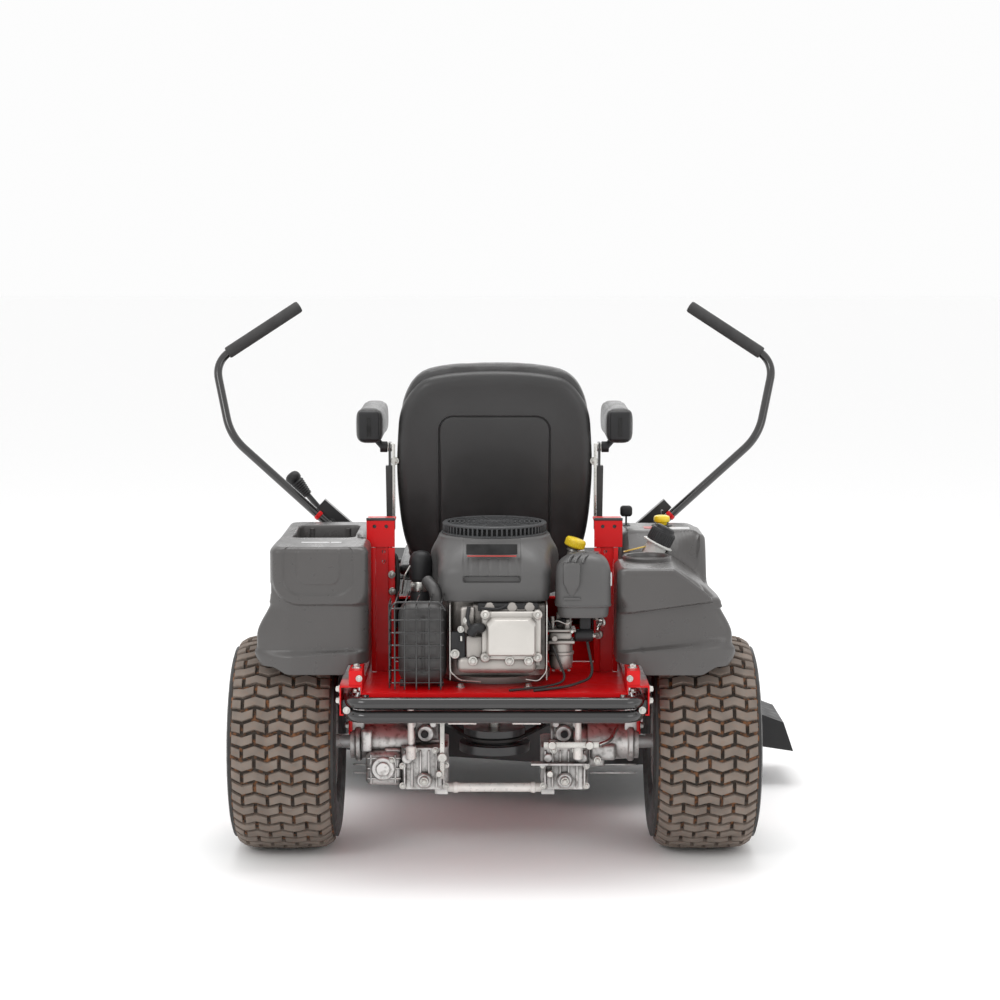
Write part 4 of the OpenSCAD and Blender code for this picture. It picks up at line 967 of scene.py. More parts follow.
def blower_housing():
    """Plastic cover over the fan: round under the guard, square and deep behind."""
    form = Form()
    # Finer steps across the rear, where the panel and its ribs are
    angles = [math.radians(mix(205, 335, i / 170)) for i in range(170)]
    angles += [math.radians(mix(335, 565, i / 90)) for i in range(90)]

    def reach(angle, z):
        c, s = math.cos(angle), math.sin(angle)
        box = ((abs(c) / 118) ** 7 + (abs(s) / 155) ** 7) ** (-1 / 7)
        low = mix(137, box, smooth(s, 0.1, -0.35))
        low *= mix(1, 0.975, smooth(z, 600, BLOWER_BOTTOM))
        high = mix(132, 117, smooth(z, 640, 690))
        return mix(high, low, smooth(z, 690, 618))

    def point(angle, z, inward=0.0):
        r = reach(angle, z) - inward
        x, y = math.cos(angle) * r, CRANK_Y + math.sin(angle) * r
        if y < -120:
            inside = panel_depth(x + 5.5, z, (-60, 604), (60, 690), 5)
            y += 3.2 * smooth(inside, -1, 2)
            if 619 < z < 653:
                y += 2.2 * smooth(abs(((x + 62) % 20) - 10), 3.5, 1.5) * smooth(inside, 2, 4)
            slot = panel_depth(x + 5.5, z, (-58, 604), (58, 617), 3)
            y += 9 * smooth(slot, -0.5, 1.5)
        return x, y, z

    rings = [[point(a, BLOWER_BOTTOM, 4) for a in angles], [point(a, BLOWER_BOTTOM, 0.8) for a in angles]]
    steps = 74
    rings += [[point(a, mix(BLOWER_BOTTOM, 686, i / steps)) for a in angles] for i in range(1, steps + 1)]
    for inward, z in ((1.5, 688.4), (4, 690), (10, 690.5), (16, 690)):
        rings.append([point(a, 686, inward)[:2] + (z,) for a in angles])
    form.loft(rings, cap_start=False, cap_end=False)
    form.make("blower_cover", ENGINE_GREY, "blower_housing", crease=55, thick=3, clean=False)
    strips("plain_engine_label", SHADE_AND_LABEL_BLACK, ((-58, -207, 661), (47, -203.5, 683), 0.8, 2, (-28, "X")))
    strips("plain_engine_label_line", LABEL_RED, ((-56, -211, 657.5), (45, -208.5, 660), 0.4, 2, (-20, "X")))


def fan_guard():
    """Slotted screen on the blower housing: upright ribs round it, rings and spokes on top."""
    form = Form()
    centre = (0, CRANK_Y, BLOWER_TOP)
    form.turned(centre, UP, [(112, 0), (112, 3), (109.5, 4.5), (103, 4.5)], 96, caps=False)
    rim = [(109, 18.5), (110, 20), (109.5, 22.4), (107, 24), (101, 24.4), (99, 23), (99, 19), (109, 18.5)]
    form.turned(centre, UP, rim, 96, caps=False)

    def bars(angles, radius, length, wide, low, high, bevel):
        """Blocks that point outwards, on a circle."""
        for a in angles:
            x, y = math.cos(a) * radius, CRANK_Y + math.sin(a) * radius
            corners = [(x + k * length, y + k * wide, BLOWER_TOP + z) for k, z in ((-1, low), (1, high))]
            form.block(*corners, bevel, 1, (math.degrees(a), "Z"))

    bars(circle(66), 106.6, 3.2, 1.9, 3, 20, 0.7)
    for r in (24, 34, 44, 54, 64, 74, 84, 93):
        ring = [(r - 1.6, 20), (r - 1.2, 24), (r + 1.2, 24), (r + 1.6, 20), (r - 1.6, 20)]
        form.turned(centre, UP, ring, 72, caps=False)
    form.turned(centre, UP, [(0.1, 20), (16, 20), (16, 24.6), (14, 25.4), (0.1, 25.4)], 40, caps=False)
    bars(circle(12, 0.5), 58, 43, 1.6, 19, 24.3, 0.6)
    form.make("guard_screen", GUARD_BLACK, "fan_guard")
    dark = Form()
    dark.turned(centre, UP, [(102.5, 1), (102.5, 16), (99, 17), (0.1, 17)], 64, caps=False)
    dark.make("guard_shadow", SHADE_AND_LABEL_BLACK)


def valve_cover():
    """Cast cover with a raised panel and four lugs, and the head below it."""
    form = Form()
    form.block((-26, -247, 449), (95, -237, 549), 4, 3)
    rings = []
    for inset, y, cut in (
        (9, -246, 10), (9.5, -252, 10), (11, -260, 12), (14, -265.5, 14), (19, -267.5, 15), (30, -267.8, 12),
    ):
        x0, x1, z0, z1 = -26 + inset, 95 - inset, 449 + inset, 547 - inset
        corners = [
            (x0 + 3, z0), (x1 - 3, z0), (x1, z0 + 3), (x1, z1 - cut), (x1 - cut, z1), (x0 + cut, z1),
            (x0, z1 - cut), (x0, z0 + 3),
        ]
        rings.append([(x, y, z) for x, z in corners])
    form.loft(rings, cap_start=False)
    lugs = [(x, z) for x in (-19, 88) for z in (455, 543)]
    for x, z in lugs:
        form.rod_y(x, z, -238, -254, 19, 28, 2)
    form.make("cover_casting", COVER, "valve_cover", crease=28)
    bolts = Form()
    for x, z in lugs:
        bolts.bolt((x, -253.5, z), REAR, 9.5, washer=False)
    for x in (-44, 31, 70):
        bolts.bolt((x, -246, 447), REAR, 14)
    for where, size in (((-81, -243, 461), 14), ((-58, -246, 531), 10), ((-69, -244, 512), 10)):
        bolts.bolt(where, REAR, size)
    bolts.rod_z(-68, -246, 488, 499, 5)
    bolts.make("head_bolts", ZINC)
    head = Form()
    head.block((-78, -245, 420), (86, -205, 456), 13, 4)
    head.block((-58, -244, 452), (-24, -205, 498), 4, 3)
    head.block((-70, -236, 500), (-40, -205, 556), 6, 3)
    for x in (-10, 36, 72):
        head.rod((x, -224, 552), (x, -236, 556), 22, 24, 2)
    head.make("head_casting", CAST)
    dark = Form()
    dark.block((-90, -240, 448), (-60, -222, 506), 3)
    dark.block((-34, -234, 548), (90, -214, 563), 2)
    dark.bent([(-48, -252, 505), (-40, -258, 517), (-28, -250, 516)], 8, 21, 16, True)
    dark.bent([(-46, -252, 512), (-57, -250, 532), (-52, -240, 558)], 12, 8, 12)
    dark.bent([(-28, -246, 556), (10, -240, 553), (26, -232, 560)], 12, 5, 10)
    dark.make("plug_boot", BLACK_PLASTIC)
    edges = Form()
    for path in (
        [(-91, -241, 562), (-91, -241, 424), (-71, -241, 406), (-28, -241, 403)],
        [(107, -241, 562), (107, -241, 424), (90, -241, 404), (64, -241, 408)],
    ):
        edges.bent(path, 8, 2.8, 6, steps=4)
    edges.make("baffle_edges", ZINC)


def rounded_section(low, high, radius, count=16):
    """Points of a rounded rectangle, evenly spread over its sides."""
    return [rounded(x, y, low, high, radius) for x, y in side_marks(low, high, (count,) * 4)]


def flat_ring(z, low, high, radius, shift=(0, 0), count=16):
    """A level ring of a rounded section."""
    return [(x + shift[0], y + shift[1], z) for x, y in rounded_section(low, high, radius, count)]


def air_filter():
    """Domed cover on its tray, with a tapered inlet moulded on the rear."""
    form = Form()
    rings = []
    for inset, z in (
        (14, 530), (8, 531), (6, 536), (5, 553), (1, 554), (0, 555.5), (0, 557), (1, 557.6), (1, 559),
    ):
        rings.append(flat_ring(z, (125 + inset, -224 + inset), (241 - inset, -128 - inset), 24))
    for k in range(13):
        a = math.pi / 2 * k / 12
        z = 612 + 50 * math.sin(a)
        inset = 1.5 + 46 * (1 - math.cos(a)) ** 1.25
        lean = 7 * (1 - math.cos(a))
        deep = inset * 0.8
        rings.append(flat_ring(z, (125 + inset, -224 + deep), (241 - inset, -128 - deep), 23, (lean, 0)))
    form.loft(rings)
    # Inlet, narrowing downwards
    inlet = []
    for z, half, deep in ((578, 6, 0.5), (592, 12, 5), (604, 17, 8), (640, 18, 10), (646, 16, 7)):
        inlet.append(flat_ring(z, (-half, -deep), (half, 16), 4, (158, -223), 6))
    form.loft(inlet)
    for i in range(3):
        x = 150 + i * 15
        form.tube([(x, -222, 646), (x + 4, -214, 655), (x + 12, -200, 660)], 4.5, 8)
    form.block((142, -227, 570), (176, -222, 575), 1)
    form.make("filter_cover", ENGINE_GREY, "air_filter", crease=40)
    strips("plain_filter_label", LABEL, ((236, -205, 596), (241.6, -180, 622), 0.8))


def carburettor():
    """Casting with its float bowl, solenoid, linkage and the cables that leave it."""
    form = Form()
    bowl = [
        (14, 418), (21, 420), (24, 426), (25, 446), (24.4, 449), (27, 450), (27, 455), (24, 456.5), (24, 474),
    ]
    form.turned((138, -172, 0), UP, bowl, 40)
    form.block((110, -198, 473), (166, -146, 481), 3, 3)
    form.block((113, -194, 480), (160, -150, 500), 6, 3)
    form.block((108, -200, 499), (168, -146, 504), 1.5)
    form.rod_z(120, -186, 503, 530, 9)
    form.rod_z(150, -182, 503, 524, 14)
    form.block((128, -176, 503), (160, -150, 534), 4, 3)
    for x in (122, 138, 154):
        form.bolt((x, -190, 421), (0, 0, -1), 8, washer=False)
    form.rod_y(124, 486, -200, -206, 12)
    form.make("carburettor_casting", CAST, "carburettor")
    extra = Form()
    extra.rod_x(-172, 488, 166, 204, 26, 28, 2)
    extra.rod((132, -178, 516), (146, -190, 524), 12)
    extra.block((176, -176, 500), (200, -160, 530), 4)
    extra.bent([(116, -196, 506), (112, -200, 520), (104, -198, 540)], 6, 3.5, 8)
    extra.make("carburettor_solenoid", BLACK_PLASTIC)
    bits = Form()
    bits.bolt((204, -172, 488), RIGHT, 11)
    bits.bent([(118, -200, 520), (130, -204, 524), (150, -202, 515), (160, -196, 522)], 5, 2.4, 8)
    bits.bolt((160, -201, 501), REAR, 8, washer=False)
    bits.bent([(213, -150, 520), (219, -156, 512), (213, -160, 503)], 4, 4, 10)
    bits.bolt((213, -156, 520), (0, -0.4, 1), 10)
    bits.make("carburettor_fittings", ZINC)
    cable = Form()
    route = [(120, -200, 470), (150, -214, 400), (110, -236, 392), (60, -252, 390), (30, -262, 389)]
    cable.bent(route, 30, 5, 10)
    cable.bent([(192, -172, 478), (206, -196, 404), (150, -240, 392), (80, -262, 388.5)], 26, 6, 10)
    cable.make("engine_cables", RUBBER)


def muffler():
    """Pressed muffler in its wire cage."""
    form = Form()
    low, high = (-198, 396), (-99, 562)

    def relief(x, z):
        sink = groove(x + 146, 3.5, 3.5)
        for i in range(1, 6):
            sink += groove(z - (396 + i * 27.5), 2.2, 3.2)
        return sink

    rings = []
    for inset, y in (
        (26, -155), (12, -157), (3, -166), (0, -180), (0, -212), (2, -222), (7, -230), (14, -234.5),
        (20, -236),
    ):
        inner, outer = (low[0] + inset, low[1] + inset), (high[0] - inset, high[1] - inset)
        rings.append([(x, y, z) for x, z in rounded_section(inner, outer, 26, 26)])
    flat = rings[-1]
    middle = ((low[0] + high[0]) / 2, (low[1] + high[1]) / 2)
    for k in range(1, 26):
        t = k / 26
        ring = []
        for x, _, z in flat:
            px, pz = mix(x, middle[0], t), mix(z, middle[1], t)
            ring.append((px, -236.5 + relief(px, pz) * smooth(t, 0, 0.15), pz))
        rings.append(ring)
    form.loft(rings)
    form.bent([(-120, -190, 560), (-122, -190, 585), (-140, -160, 600)], 14, 26, 18)
    form.rod_z(-190, -196, 386, 400, 12)
    form.rod_z(-112, -196, 386, 400, 12)
    form.make("muffler_shell", MUFFLER, "muffler", crease=60)
    cage = Form()
    wire = 3.4
    back, left = -250, -214
    for z in (402, 428, 454, 480, 506, 532, 556):
        cage.bent([(-104, back + 3, z), (left, back, z), (left - 2, -150, z)], 10, wire, 8)
    for x in (-204, -184, -160, -134, -110):
        cage.bent([(x, back, 388), (x, back, 564), (x + 6, -215, 578), (x + 8, -160, 580)], 12, wire, 8)
    for y in (-230, -205, -180, -155):
        cage.tube([(left - 2, y, 388), (left - 2, y, 564)], wire, 8)
    cage.bent([(-100, back, 552), (-110, back, 569), (-206, back, 569), (left, back + 2, 548)], 9, wire, 8)
    cage.make("muffler_cage", GLOSS_BLACK, "muffler_guard")


def starter():
    """Starter motor with its bright neck and lead."""
    foot = (-156, CRANK_Y, 0)
    form = Form()
    can = [
        (22, 470), (23, 472), (23, 560), (20, 566), (20, 588), (24, 590), (25, 594), (25, 628), (22, 640),
        (15, 648), (5, 651),
    ]
    form.turned(foot, UP, can, 40)
    form.make("starter_can", BLACK_PLASTIC, "starter_motor")
    neck = Form()
    neck.turned(foot, UP, [(20.5, 566), (21.5, 568), (21.5, 584), (20.5, 586)], 40, caps=False)
    neck.bolt((-140, CRANK_Y - 14, 590), (0, -1, 0.3), 10)
    neck.bolt((-172, CRANK_Y - 12, 580), REAR, 9)
    neck.bent([(-178, -70, 620), (-190, -80, 600), (-196, -70, 560)], 12, 4, 8)
    neck.make("starter_neck", ZINC)


def oil_filler():
    """Knurled yellow cap on the leaning dipstick tube."""
    lean = math.radians(18)
    top = Vector((150 + 58 * math.sin(lean), -48, 600 + 58 * math.cos(lean)))
    axis = Vector((math.sin(lean), 0, math.cos(lean)))
    cap = Form()
    side = [(17, 0), (20, 1.5), (21, 4), (21, 17), (19.5, 19.5), (14, 20.5), (0.1, 20.8)]
    cap.turned(top + axis, axis, side, 48)
    cap.knurls(top, axis, 28, 21, 4, 17, 2.4, 0.4)
    cap.make("oil_cap_knurled", YELLOW, "oil_cap", body="dipstick")
    tube = Form()
    tube.turned(top - axis * 8, axis, [(11, 0), (13.5, 1), (13.5, 5), (11, 6)], 32)
    tube.bolt(top - axis * 20 + Vector((0, -12, 0)), REAR, 9)
    tube.make("dipstick_collar", ZINC)


# ---- Frame and transmission details ----


def frame_details():
    """Fasteners of the frame, caps of the posts, wiring, and the walls of the engine bay."""
    bolts = Form()
    for s in (-1, 1):
        for z in (372, 396):
            bolts.bolt((s * 316.5, -262, z - 4), (s, 0, 0), 13)
        bolts.bolt((s * 300, -212, 386), UP, 13)
        bolts.bolt((s * 283, -262, 386), UP, 12)
        bolts.bolt((s * 313, -20, 268), (s, 0, 0), 15)
        bolts.bolt((s * 311, -20, 326), (s, 0, 0), 13)
        for y in (-10, 24):
            bolts.bolt((s * 253, y, 420), (s, 0, 0), 13)
            bolts.bolt((s * 226, y, 640), (-s, 0, 0), 12)
        for y in (640, 960, 1290):
            bolts.bolt((s * 296, y, 403), UP, 13)
        bolts.bolt((s * 300, -300, 355), REAR, 11)
    for x, y in ((-70, -210), (70, -210), (-96, -20), (96, -20)):
        bolts.bolt((x, y, PLATE_TOP), UP, 14)
    bolts.make("frame_bolts", ZINC)
    caps = Form()
    for s in (-1, 1):
        x = s * POST_X
        caps.block((x - 30.5, -35.5, 711.6), (x + 30.5, -28.5, 717.4), 1.2)
        # A black plate inside each post behind its holes: painted shade, so the holes read dark
        caps.block((x - 23, -29.6, 658), (x + 23, -28.4, 709), 0.3)
    caps.make("upright_caps_and_hole_shade", BLACK_PAINT)
    fittings = Form()
    fittings.rod_x(-14, 590, 225, 214, 22, 28, 2)
    fittings.bent([(218, -14, 590), (208, -20, 588), (204, -26, 560), (214, -20, 470)], 12, 8, 10)
    fittings.rod_x(14, 566, 225, 212, 14, 24, 1)
    fittings.bent([(-225, -12, 640), (-210, -20, 636), (-205, -26, 590), (-213, -24, 480)], 14, 9, 10)
    fittings.bent([(-225, 10, 610), (-214, 6, 604), (-210, 0, 560), (-216, 0, 460)], 14, 7, 10)
    fittings.make("wiring_loom", RUBBER)
    walls = Form()
    for s in (-1, 1):
        for x, half in ((219, 7), (258, 5)):
            walls.block((s * x - half, -34, PLATE_TOP + 1), (s * x + half, -30.5, 654), 0.8)
    walls.block((-249, 94, PLATE_TOP + 1), (249, 97, 531), 1)
    walls.block((-249, 86, 526), (249, 94, 531), 1)
    walls.make("engine_bay_walls", RED)
    bracket = Form()
    bracket.bolt((226, -34, 493), (-0.3, -1, 0), 17)
    bracket.bolt((222, -34, 467), (-0.3, -1, 0), 14)
    bracket.rod((224, -36, 484), (219, -46, 476), 8)
    bracket.bolt((-218, -34, 560), (0.3, -1, 0), 12)
    bracket.bolt((-219, -34, 596), (0.3, -1, 0), 12)
    bracket.bolt((224, -20, 606), (-1, 0, 0), 13)
    bracket.bolt((-224, -22, 650), (-1, 0, 0), 10)
    bracket.bolt((224, 6, 548), (-1, 0, 0), 10)
    bracket.make("wall_bolts", ZINC)


def transaxle_details():
    """Pads, ribs, caps and linkage on the two transaxles; the right one carries the bypass plate."""
    for s, word in SIDES:
        cast = Form(mirror=s < 0)
        for x in (108, 124, 140, 158, 176, 192):
            cast.block((x - 2, -70, 142), (x + 2, -56, 222), 1.2)
        for z in (166, 184):
            cast.block((204, -34, z - 1.6), (304, -30, z + 1.6), 1)
        for peg in (
            (150, 158, -64, -76, 34, 32, 3), (150, 158, -76, -80, 20, 28, 1.5),
            (186, 206, -64, -74, 24, 28, 2), (114, 206, -64, -72, 20, 28, 2), (148, 250, -16, -30, 38, 32, 3),
            (176, 270, -16, -28, 18, 24, 2), (132, 270, -16, -26, 16, 24, 2),
        ):
            cast.rod_y(*peg)
        cast.block((118, -20, 226), (196, -12, 236), 3)
        for a in circle(8):
            y, z = math.cos(a) * 33, AXLE_Z + math.sin(a) * 33
            cast.block((208, y - 3, z - 3), (290, y + 3, z + 3), 1.5, 2)
        cast.rod_x(0, AXLE_Z, 286, 300, 86, 40, 3)
        cast.block((198, -46, 182), (236, -34, 222), 5, 3)
        cast.make(f"transaxle_ribs_{word}", CAST_DUST_AND_SHADE)
        bolts = Form(mirror=s < 0)
        for x, z in ((104, 145), (196, 145), (196, 188), (104, 190), (126, 222), (172, 222)):
            bolts.bolt((x, -64, z), REAR, 11)
        for x, z in ((130, 214), (184, 214), (126, 278), (190, 282)):
            bolts.bolt((x, -18, z), REAR, 10)
        bolts.bolt((150, -80, 158), REAR, 13)
        bolts.rod_y(118, 176, -62, -92, 14, 20, 1)
        bolts.rod_y(220, 200, -44, -62, 12, 20, 1)
        bolts.bolt((220, -62, 200), REAR, 12)
        bolts.make(f"transaxle_bolts_{word}", ZINC)
        dark = Form(mirror=s < 0)
        dark.rod_y(150, 250, -30, -37, 16, 24, 1)
        dark.make(f"transaxle_breather_{word}", BLACK_PLASTIC)
    plate = Form(mirror=True)
    plate.block((106, -88, 164), (116, -84, 292), 2)
    plate.block((104, -96, 286), (134, -84, 291), 1)
    plate.rod_y(111, 212, -86, -94, 20, 24, 1)
    plate.make("bypass_bracket_left", ZINC)
    plate = Form()
    plate.block((104, -92, 232), (222, -88, 246), 2)
    plate.rod_y(122, 239, -90, -98, 18, 24, 1)
    plate.rod_y(202, 239, -90, -98, 18, 24, 1)
    plate.bent([(222, -90, 239), (246, -80, 246), (262, -50, 268)], 16, 9, 12)
    plate.make("bypass_plate_right", ZINC)
    wide = Form(mirror=True)
    wide.block((196, -60, 143), (276, 40, 216), 13, 4)
    wide.rod_y(238, 182, -58, -68, 52, 40, 4)
    wide.rod_y(238, 182, -68, -73, 30, 32, 2)
    for z in (160, 182, 204):
        wide.block((200, -63, z - 1.8), (272, -56, z + 1.8), 1)
    for x in (212, 264):
        wide.block((x - 1.8, -63, 148), (x + 1.8, -56, 212), 1)
    wide.block((262, -52, 214), (286, -30, 262), 6, 3)
    wide.make("transaxle_case_left", CAST_DUST_AND_SHADE)
    extra = Form()
    horn = [(46, 0), (47, 4), (44, 26), (39, 60), (38, 84), (40, 88), (40, 96), (37, 98)]
    extra.turned((200, 0, AXLE_Z), RIGHT, horn, 48)
    extra.block((204, -52, 196), (262, -32, 232), 10, 4)
    extra.make("transaxle_horn_right", CAST_DUST_AND_SHADE)
    bars = Form()
    bars.rod_x(-44, 137, -101, 101, 19.4, 28, 1)
    for s in (-1, 1):
        bars.rod_x(-44, 137, s * 88, s * 78, 24, 28, 1)
        bars.rod_z(s * 178, -76, 238, 342, 13.4, 24, 1)
        bars.rod_z(s * 178, -76, 206, 234, 21.4, 28, 1.5)
        bars.block((s * 68 - 30, -120, 289), (s * 68 + 30, -112, 300), 1.5)
    bars.make("belt_keeper_bars", WHITE_ROD)
    red = Form()
    for s in (-1, 1):
        red.block((s * 309 - 4, -34, 256), (s * 309 + 4, -2, 300), 2)
    red.make("hanger_tabs", RED)


# ---- Controls ----


def lap_bars():
    """Bent drive levers on their knuckles, with foam grips on their last stretch."""
    low, elbow = Vector((381, 335, 663)), Vector((602, 350, 862))
    corner, top = Vector((642, 411, 1029)), Vector((451, 450, 1154))
    for s, word in SIDES:
        body = f"lap_bar_{word}"
        bar = Form(mirror=s < 0)
        bar.bent([low, elbow, corner, top], 44, 19, 24, steps=12)
        knuckle = [(6.6, 0), (12, 0), (13, 1), (13, 22.2), (12, 23.2), (6.6, 23.2), (6.6, 0)]
        bar.turned((374, 323.3, 657), (0, 1, 0), knuckle, 40, caps=False)
        bar.make(f"lap_bar_tube_{word}", GLOSS_BLACK, f"lever_bar_{word}", body=body)
        root = (elbow - low).normalized()
        collar = Form(mirror=s < 0)
        collar.rod(low + root * 22, low + root * 32, 22, 32, 1.5)
        collar.make(f"lap_bar_collar_{word}", RED, body=body)
        along = (top - corner).normalized()
        start = corner + along * 34
        length = (top - start).length
        grip = Form(mirror=s < 0)
        foam = [(9.4, 0), (12.5, 0.4), (13.8, 2.5), (14, 6)]
        foam += [(r, length + past) for r, past in ((14, -5), (13.6, -2), (12, 0.6), (7, 1.6), (0.1, 1.8))]
        grip.turned(start, along, foam, 36)
        grip.make(f"lap_bar_grip_{word}", FOAM, body=body)


def lift_handle():
    """Lift lever with its ribbed grip and round end."""
    elbow, top = Vector((380, 410, 660)), Vector((453, 410, 746))
    along = (top - elbow).normalized()
    lever = Form(mirror=True)
    lever.rod_x(410, 520, 253.5, 297, 32)
    lever.bent([(285, 410, 528), elbow, top], 30, 13, 18)
    lever.make("lift_lever_bar", BLACK_PAINT, body="deck_lever")
    grip = Form(mirror=True)
    foot = top - along * 34
    profile = [(7, 0), (11, 1)]
    for i in range(7):
        wide = 12 + i * 0.85
        profile += [(wide - 1.5, 3 + i * 5.4), (wide, 5 + i * 5.4), (wide - 1.2, 7.4 + i * 5.4)]
    profile += [(14, 42), (17, 45.5), (18, 50), (18, 54), (16.5, 59), (13, 63), (7, 65.5), (0.1, 66)]
    grip.turned(foot, along, profile, 36)
    grip.make("lift_lever_grip", BLACK_PLASTIC, "lift_lever", body="deck_lever")


def small_controls():
    """Throttle lever, blade switch, bezels of the console and the ribbed tank cap."""
    throttle = Form()
    throttle.rod_x(222, 650, 290.2, 297.8, 15)
    throttle.block((292, 218, 656), (296, 226, 694), 1)
    throttle.block((280.5, 211, 692), (307.5, 233, 716), 7, 4)
    throttle.make("throttle_grip", BLACK_PLASTIC, "throttle_lever", body="throttle")
    knob = Form()
    pull = [
        (6, 660), (6, 675), (11, 676), (12, 681), (17, 683), (18, 686), (18, 691), (16.5, 695), (11, 697),
        (0.1, 697.5),
    ]
    knob.turned((372, 200, 0), UP, pull, 48)
    knob.make("blade_knob", YELLOW, "pto_knob", body="blade_switch")
    ring = Form()
    for x, y, r0, r1, r2 in ((372, 200, 14, 23, 20), (376, 248, 7, 15, 13)):
        bezel = [(r0, 673), (r1, 673.2), (r1, 675), (r2, 676.4), (r0, 676.4)]
        ring.turned((x, y, 0), UP, bezel, 48, caps=False)
    ring.block((286, 196, 672.6), (302, 250, 674.4), 0.8)
    ring.make("console_bezels", BLACK_PLASTIC)
    tilt = math.radians(27)
    axis = Vector((math.sin(tilt), 0, math.cos(tilt)))
    neck = Vector((352, 50, 650))
    cap = Form()
    base = neck + axis * 4
    side = [(24, 0), (27, 1), (27, 27), (25.5, 30), (22, 31), (21, 33), (21, 37), (18, 39), (0.1, 39)]
    cap.turned(base, axis, side, 56)
    cap.knurls(base, axis, 30, 26.6, 3, 26, 3, 0.5)
    cap.make("tank_cap_ribbed", BLACK_PLASTIC, "fuel_cap", body="filler_cap")
    collar = Form()
    collar.turned(neck, axis, [(25, 0), (33, 0.5), (34, 3), (30, 5), (25, 5)], 56, caps=False)
    collar.make("tank_neck_ring", MILKY, body="filler_cap")


def foot_mat():
    """Raised ribs of the rubber foot mat, and the tread strips of the kick-up."""
    mat = Form()
    mat.block((-284, 642, 409.6), (284, 1333, 411), 0.6)
    for i in range(31):
        x = -270 + i * 18
        mat.block((x - 4, 656, 410.6), (x + 4, 1318, 413.4), 1.2)
    mat.make("foot_mat_ribs", RUBBER)


# ---- Deck belt ----


def outline(pulleys, steps=40):
    """The tight outline round some circles (x, y, radius), as evenly cut runs and arcs."""
    points = []
    for x, y, r in pulleys:
        for i in range(360):
            a = math.tau * i / 360
            points.append((x + math.cos(a) * r, y + math.sin(a) * r))
    points.sort()

    def half(items):
        kept = []
        for p in items:
            while len(kept) > 1:
                (ax, ay), (bx, by) = kept[-2], kept[-1]
                if (bx - ax) * (p[1] - ay) - (by - ay) * (p[0] - ax) > 0:
                    break
                kept.pop()
            kept.append(p)
        return kept[:-1]

    hull = half(points) + half(points[::-1])
    loop = []
    for (ax, ay), (bx, by) in zip(hull, hull[1:] + hull[:1]):
        count = max(1, round(math.hypot(bx - ax, by - ay) / 14))
        loop += [Vector((mix(ax, bx, i / count), mix(ay, by, i / count))) for i in range(count)]
    return loop


def deck_belt():
    """The long belt down to the deck, round the crank pulley and the two spindle pulleys."""
    loop = outline([(0, CRANK_Y, 50)] + [(x, y, 70) for (x, y), _ in SPINDLES])
    rings = []
    for inset, z in (
        (0, 257), (-0.5, 257.5), (-8.8, 254), (-9, 253), (-9, 249), (-8.8, 248), (-0.5, 244.5), (0, 245),
    ):
        rings.append([(p.x, p.y, z) for p in inset_loop(loop, inset)])
    rings.append(rings[0])
    form = Form()
    form.loft(rings, cap_start=False, cap_end=False)
    belt = form.make("deck_belt_run", RUBBER, "deck_belt", body=None)
    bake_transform(belt)


def deck_details():
    """Fasteners of the two spindles."""
    bolts = Form()
    for (x, y), _ in SPINDLES:
        for a in circle(6, 0.5):
            bolts.bolt((x + math.cos(a) * 56, y + math.sin(a) * 56, 200), UP, 12)
    bolts.make("deck_bolts", ZINC, body="deck")
    for (x, y), word in SPINDLES:
        nut = Form()
        nut.bolt((x, y, 262), UP, 20)
        nut.make(f"spindle_nut_{word}", ZINC, body=f"blade_{word}")
    strips("plain_label_deck", LABEL_YELLOW, ((-62, 880, 197.6), (62, 950, 198.9), 0.4), body="deck")


# ---- Everything together ----

for wheel in (rear_tyre, front_tyre):
    for side, word in SIDES:
        wheel(side, word)
for build in (
    fenders, seat_shell, cushions, blower_housing, fan_guard, valve_cover, air_filter, carburettor, muffler,
    starter, oil_filler, frame_details, transaxle_details, lap_bars, lift_handle, small_controls, foot_mat,
    deck_belt, deck_details,
):
    build()

CAD_LOOKS = {
    RED: (
        "frame_rail_left", "frame_rail_right", "front_beam", "engine_plate", "upright_left", "upright_right",
    ),
    GLOSS_BLACK: ("rear_bumper",),
    BLACK_PAINT: (
        "floor_pan", "pto_clutch", "transaxle_pulley_left", "transaxle_pulley_right", "caster_fork_left",
        "caster_fork_right", "seat_pan", "lever_base_left", "lever_base_right", "deck_shell",
    ),
    BLACK_PLASTIC: ("battery", "chute_deflector", "deck_rollers", "ignition_key"),
    MILKY: ("fuel_tank",),
    CAST: ("engine_block",),
    CAST_DUST_AND_SHADE: ("transaxle_left", "transaxle_right"),
    ZINC: ("crankshaft", "blade_spindle_left", "blade_spindle_right"),
    RUBBER: ("drive_belt",),
    RIM: ("rear_rim_left", "rear_rim_right", "front_rim_left", "front_rim_right"),
}
for look, names in CAD_LOOKS.items():
    for name in names:
        mesh = frame["nodes"][name].data
        mesh.materials.clear()
        mesh.materials.append(look)


# ---- Stage ----


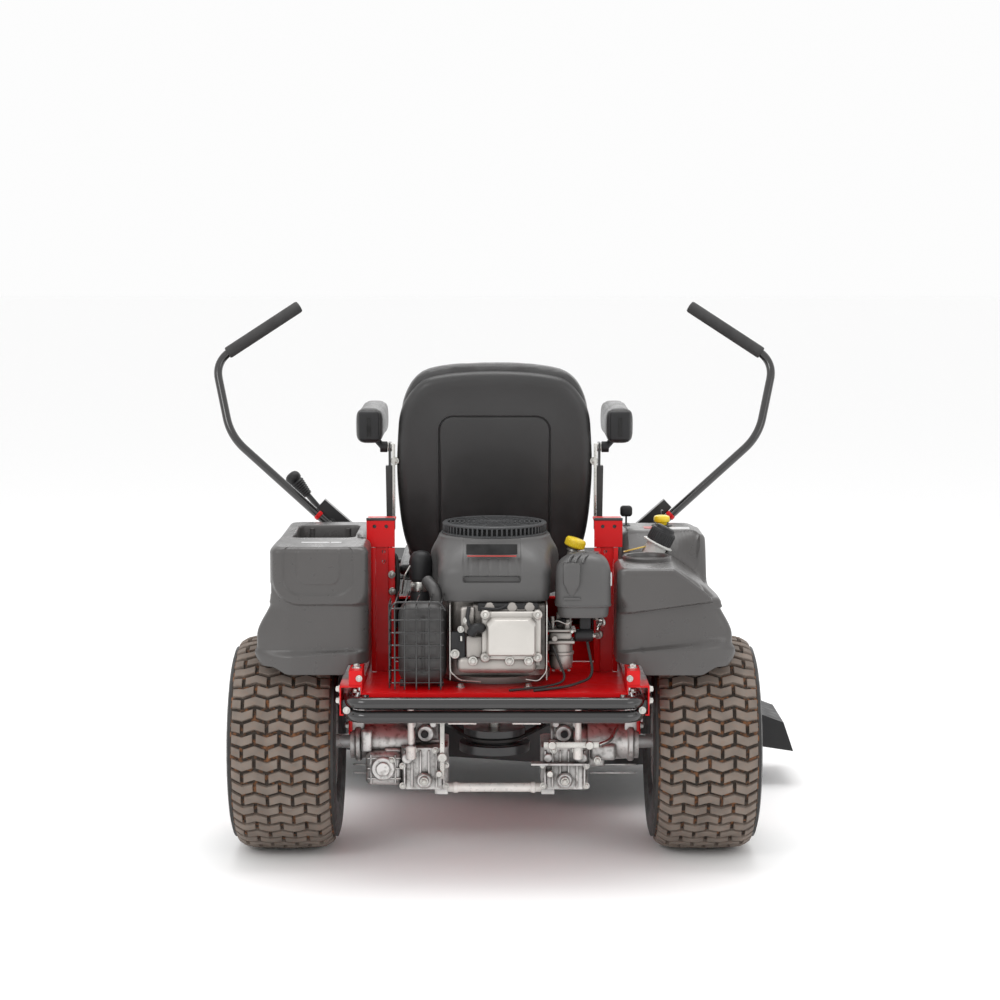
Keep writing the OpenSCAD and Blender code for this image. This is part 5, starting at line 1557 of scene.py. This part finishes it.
def floor(size=60, white=0.985):
    """A plain square floor that reaches far past the view."""
    material = bpy.data.materials.new("studio_floor")
    material.use_nodes = True
    shader = material.node_tree.nodes["Principled BSDF"]
    shader.inputs["Base Color"].default_value = (white, white, white, 1)
    shader.inputs["Roughness"].default_value = 0.8
    mesh = bpy.data.meshes.new("studio_floor")
    corners = [(x * size, y * size, 0) for x, y in ((-1, -1), (1, -1), (1, 1), (-1, 1))]
    mesh.from_pydata(corners, [], [(0, 1, 2, 3)])
    mesh.materials.append(material)
    ground = bpy.data.objects.new("studio_floor", mesh)
    bpy.context.scene.collection.objects.link(ground)
    return ground


def lamp(name, where, target, size, power):
    """A soft rectangular lamp that points at a target."""
    light = bpy.data.lights.new(name, "AREA")
    light.shape = "RECTANGLE"
    light.size, light.size_y = size
    light.energy = power
    holder = bpy.data.objects.new(name, light)
    holder.location = where
    holder.rotation_euler = (Vector(target) - Vector(where)).to_track_quat("-Z", "Y").to_euler()
    bpy.context.scene.collection.objects.link(holder)
    return holder


floor()
lamp("key_light", (-2.6, -4.2, 3.2), (0, 0, 0.5), (2.0, 1.4), 42)
lamp("fill_light", (3.2, -3.6, 2.0), (0, 0, 0.5), (2.2, 2.0), 18)
lamp("top_light", (0, 0.2, 4.2), (0, 0, 0.4), (3.0, 2.4), 70)
lamp("front_light", (0.5, 5.0, 2.6), (0, 0, 0.6), (3.0, 2.0), 20)

world = bpy.data.worlds.new("studio_world")
world.use_nodes = True
world.node_tree.nodes["Background"].inputs["Color"].default_value = (1, 1, 1, 1)
world.node_tree.nodes["Background"].inputs["Strength"].default_value = 0.98
scene = bpy.context.scene
scene.world = world
scene.view_settings.view_transform = "Standard"

camera_data = bpy.data.cameras.new("photo_camera")
camera_data.sensor_width = 36
camera_data.lens = 84.7
camera_data.shift_x = 0.0055
camera_data.clip_end = 200
camera = bpy.data.objects.new("photo_camera", camera_data)
camera.location = place((0, -5000, 1283))
camera.rotation_euler = (math.radians(90 - 6.06), 0, 0)
scene.collection.objects.link(camera)
scene.camera = camera
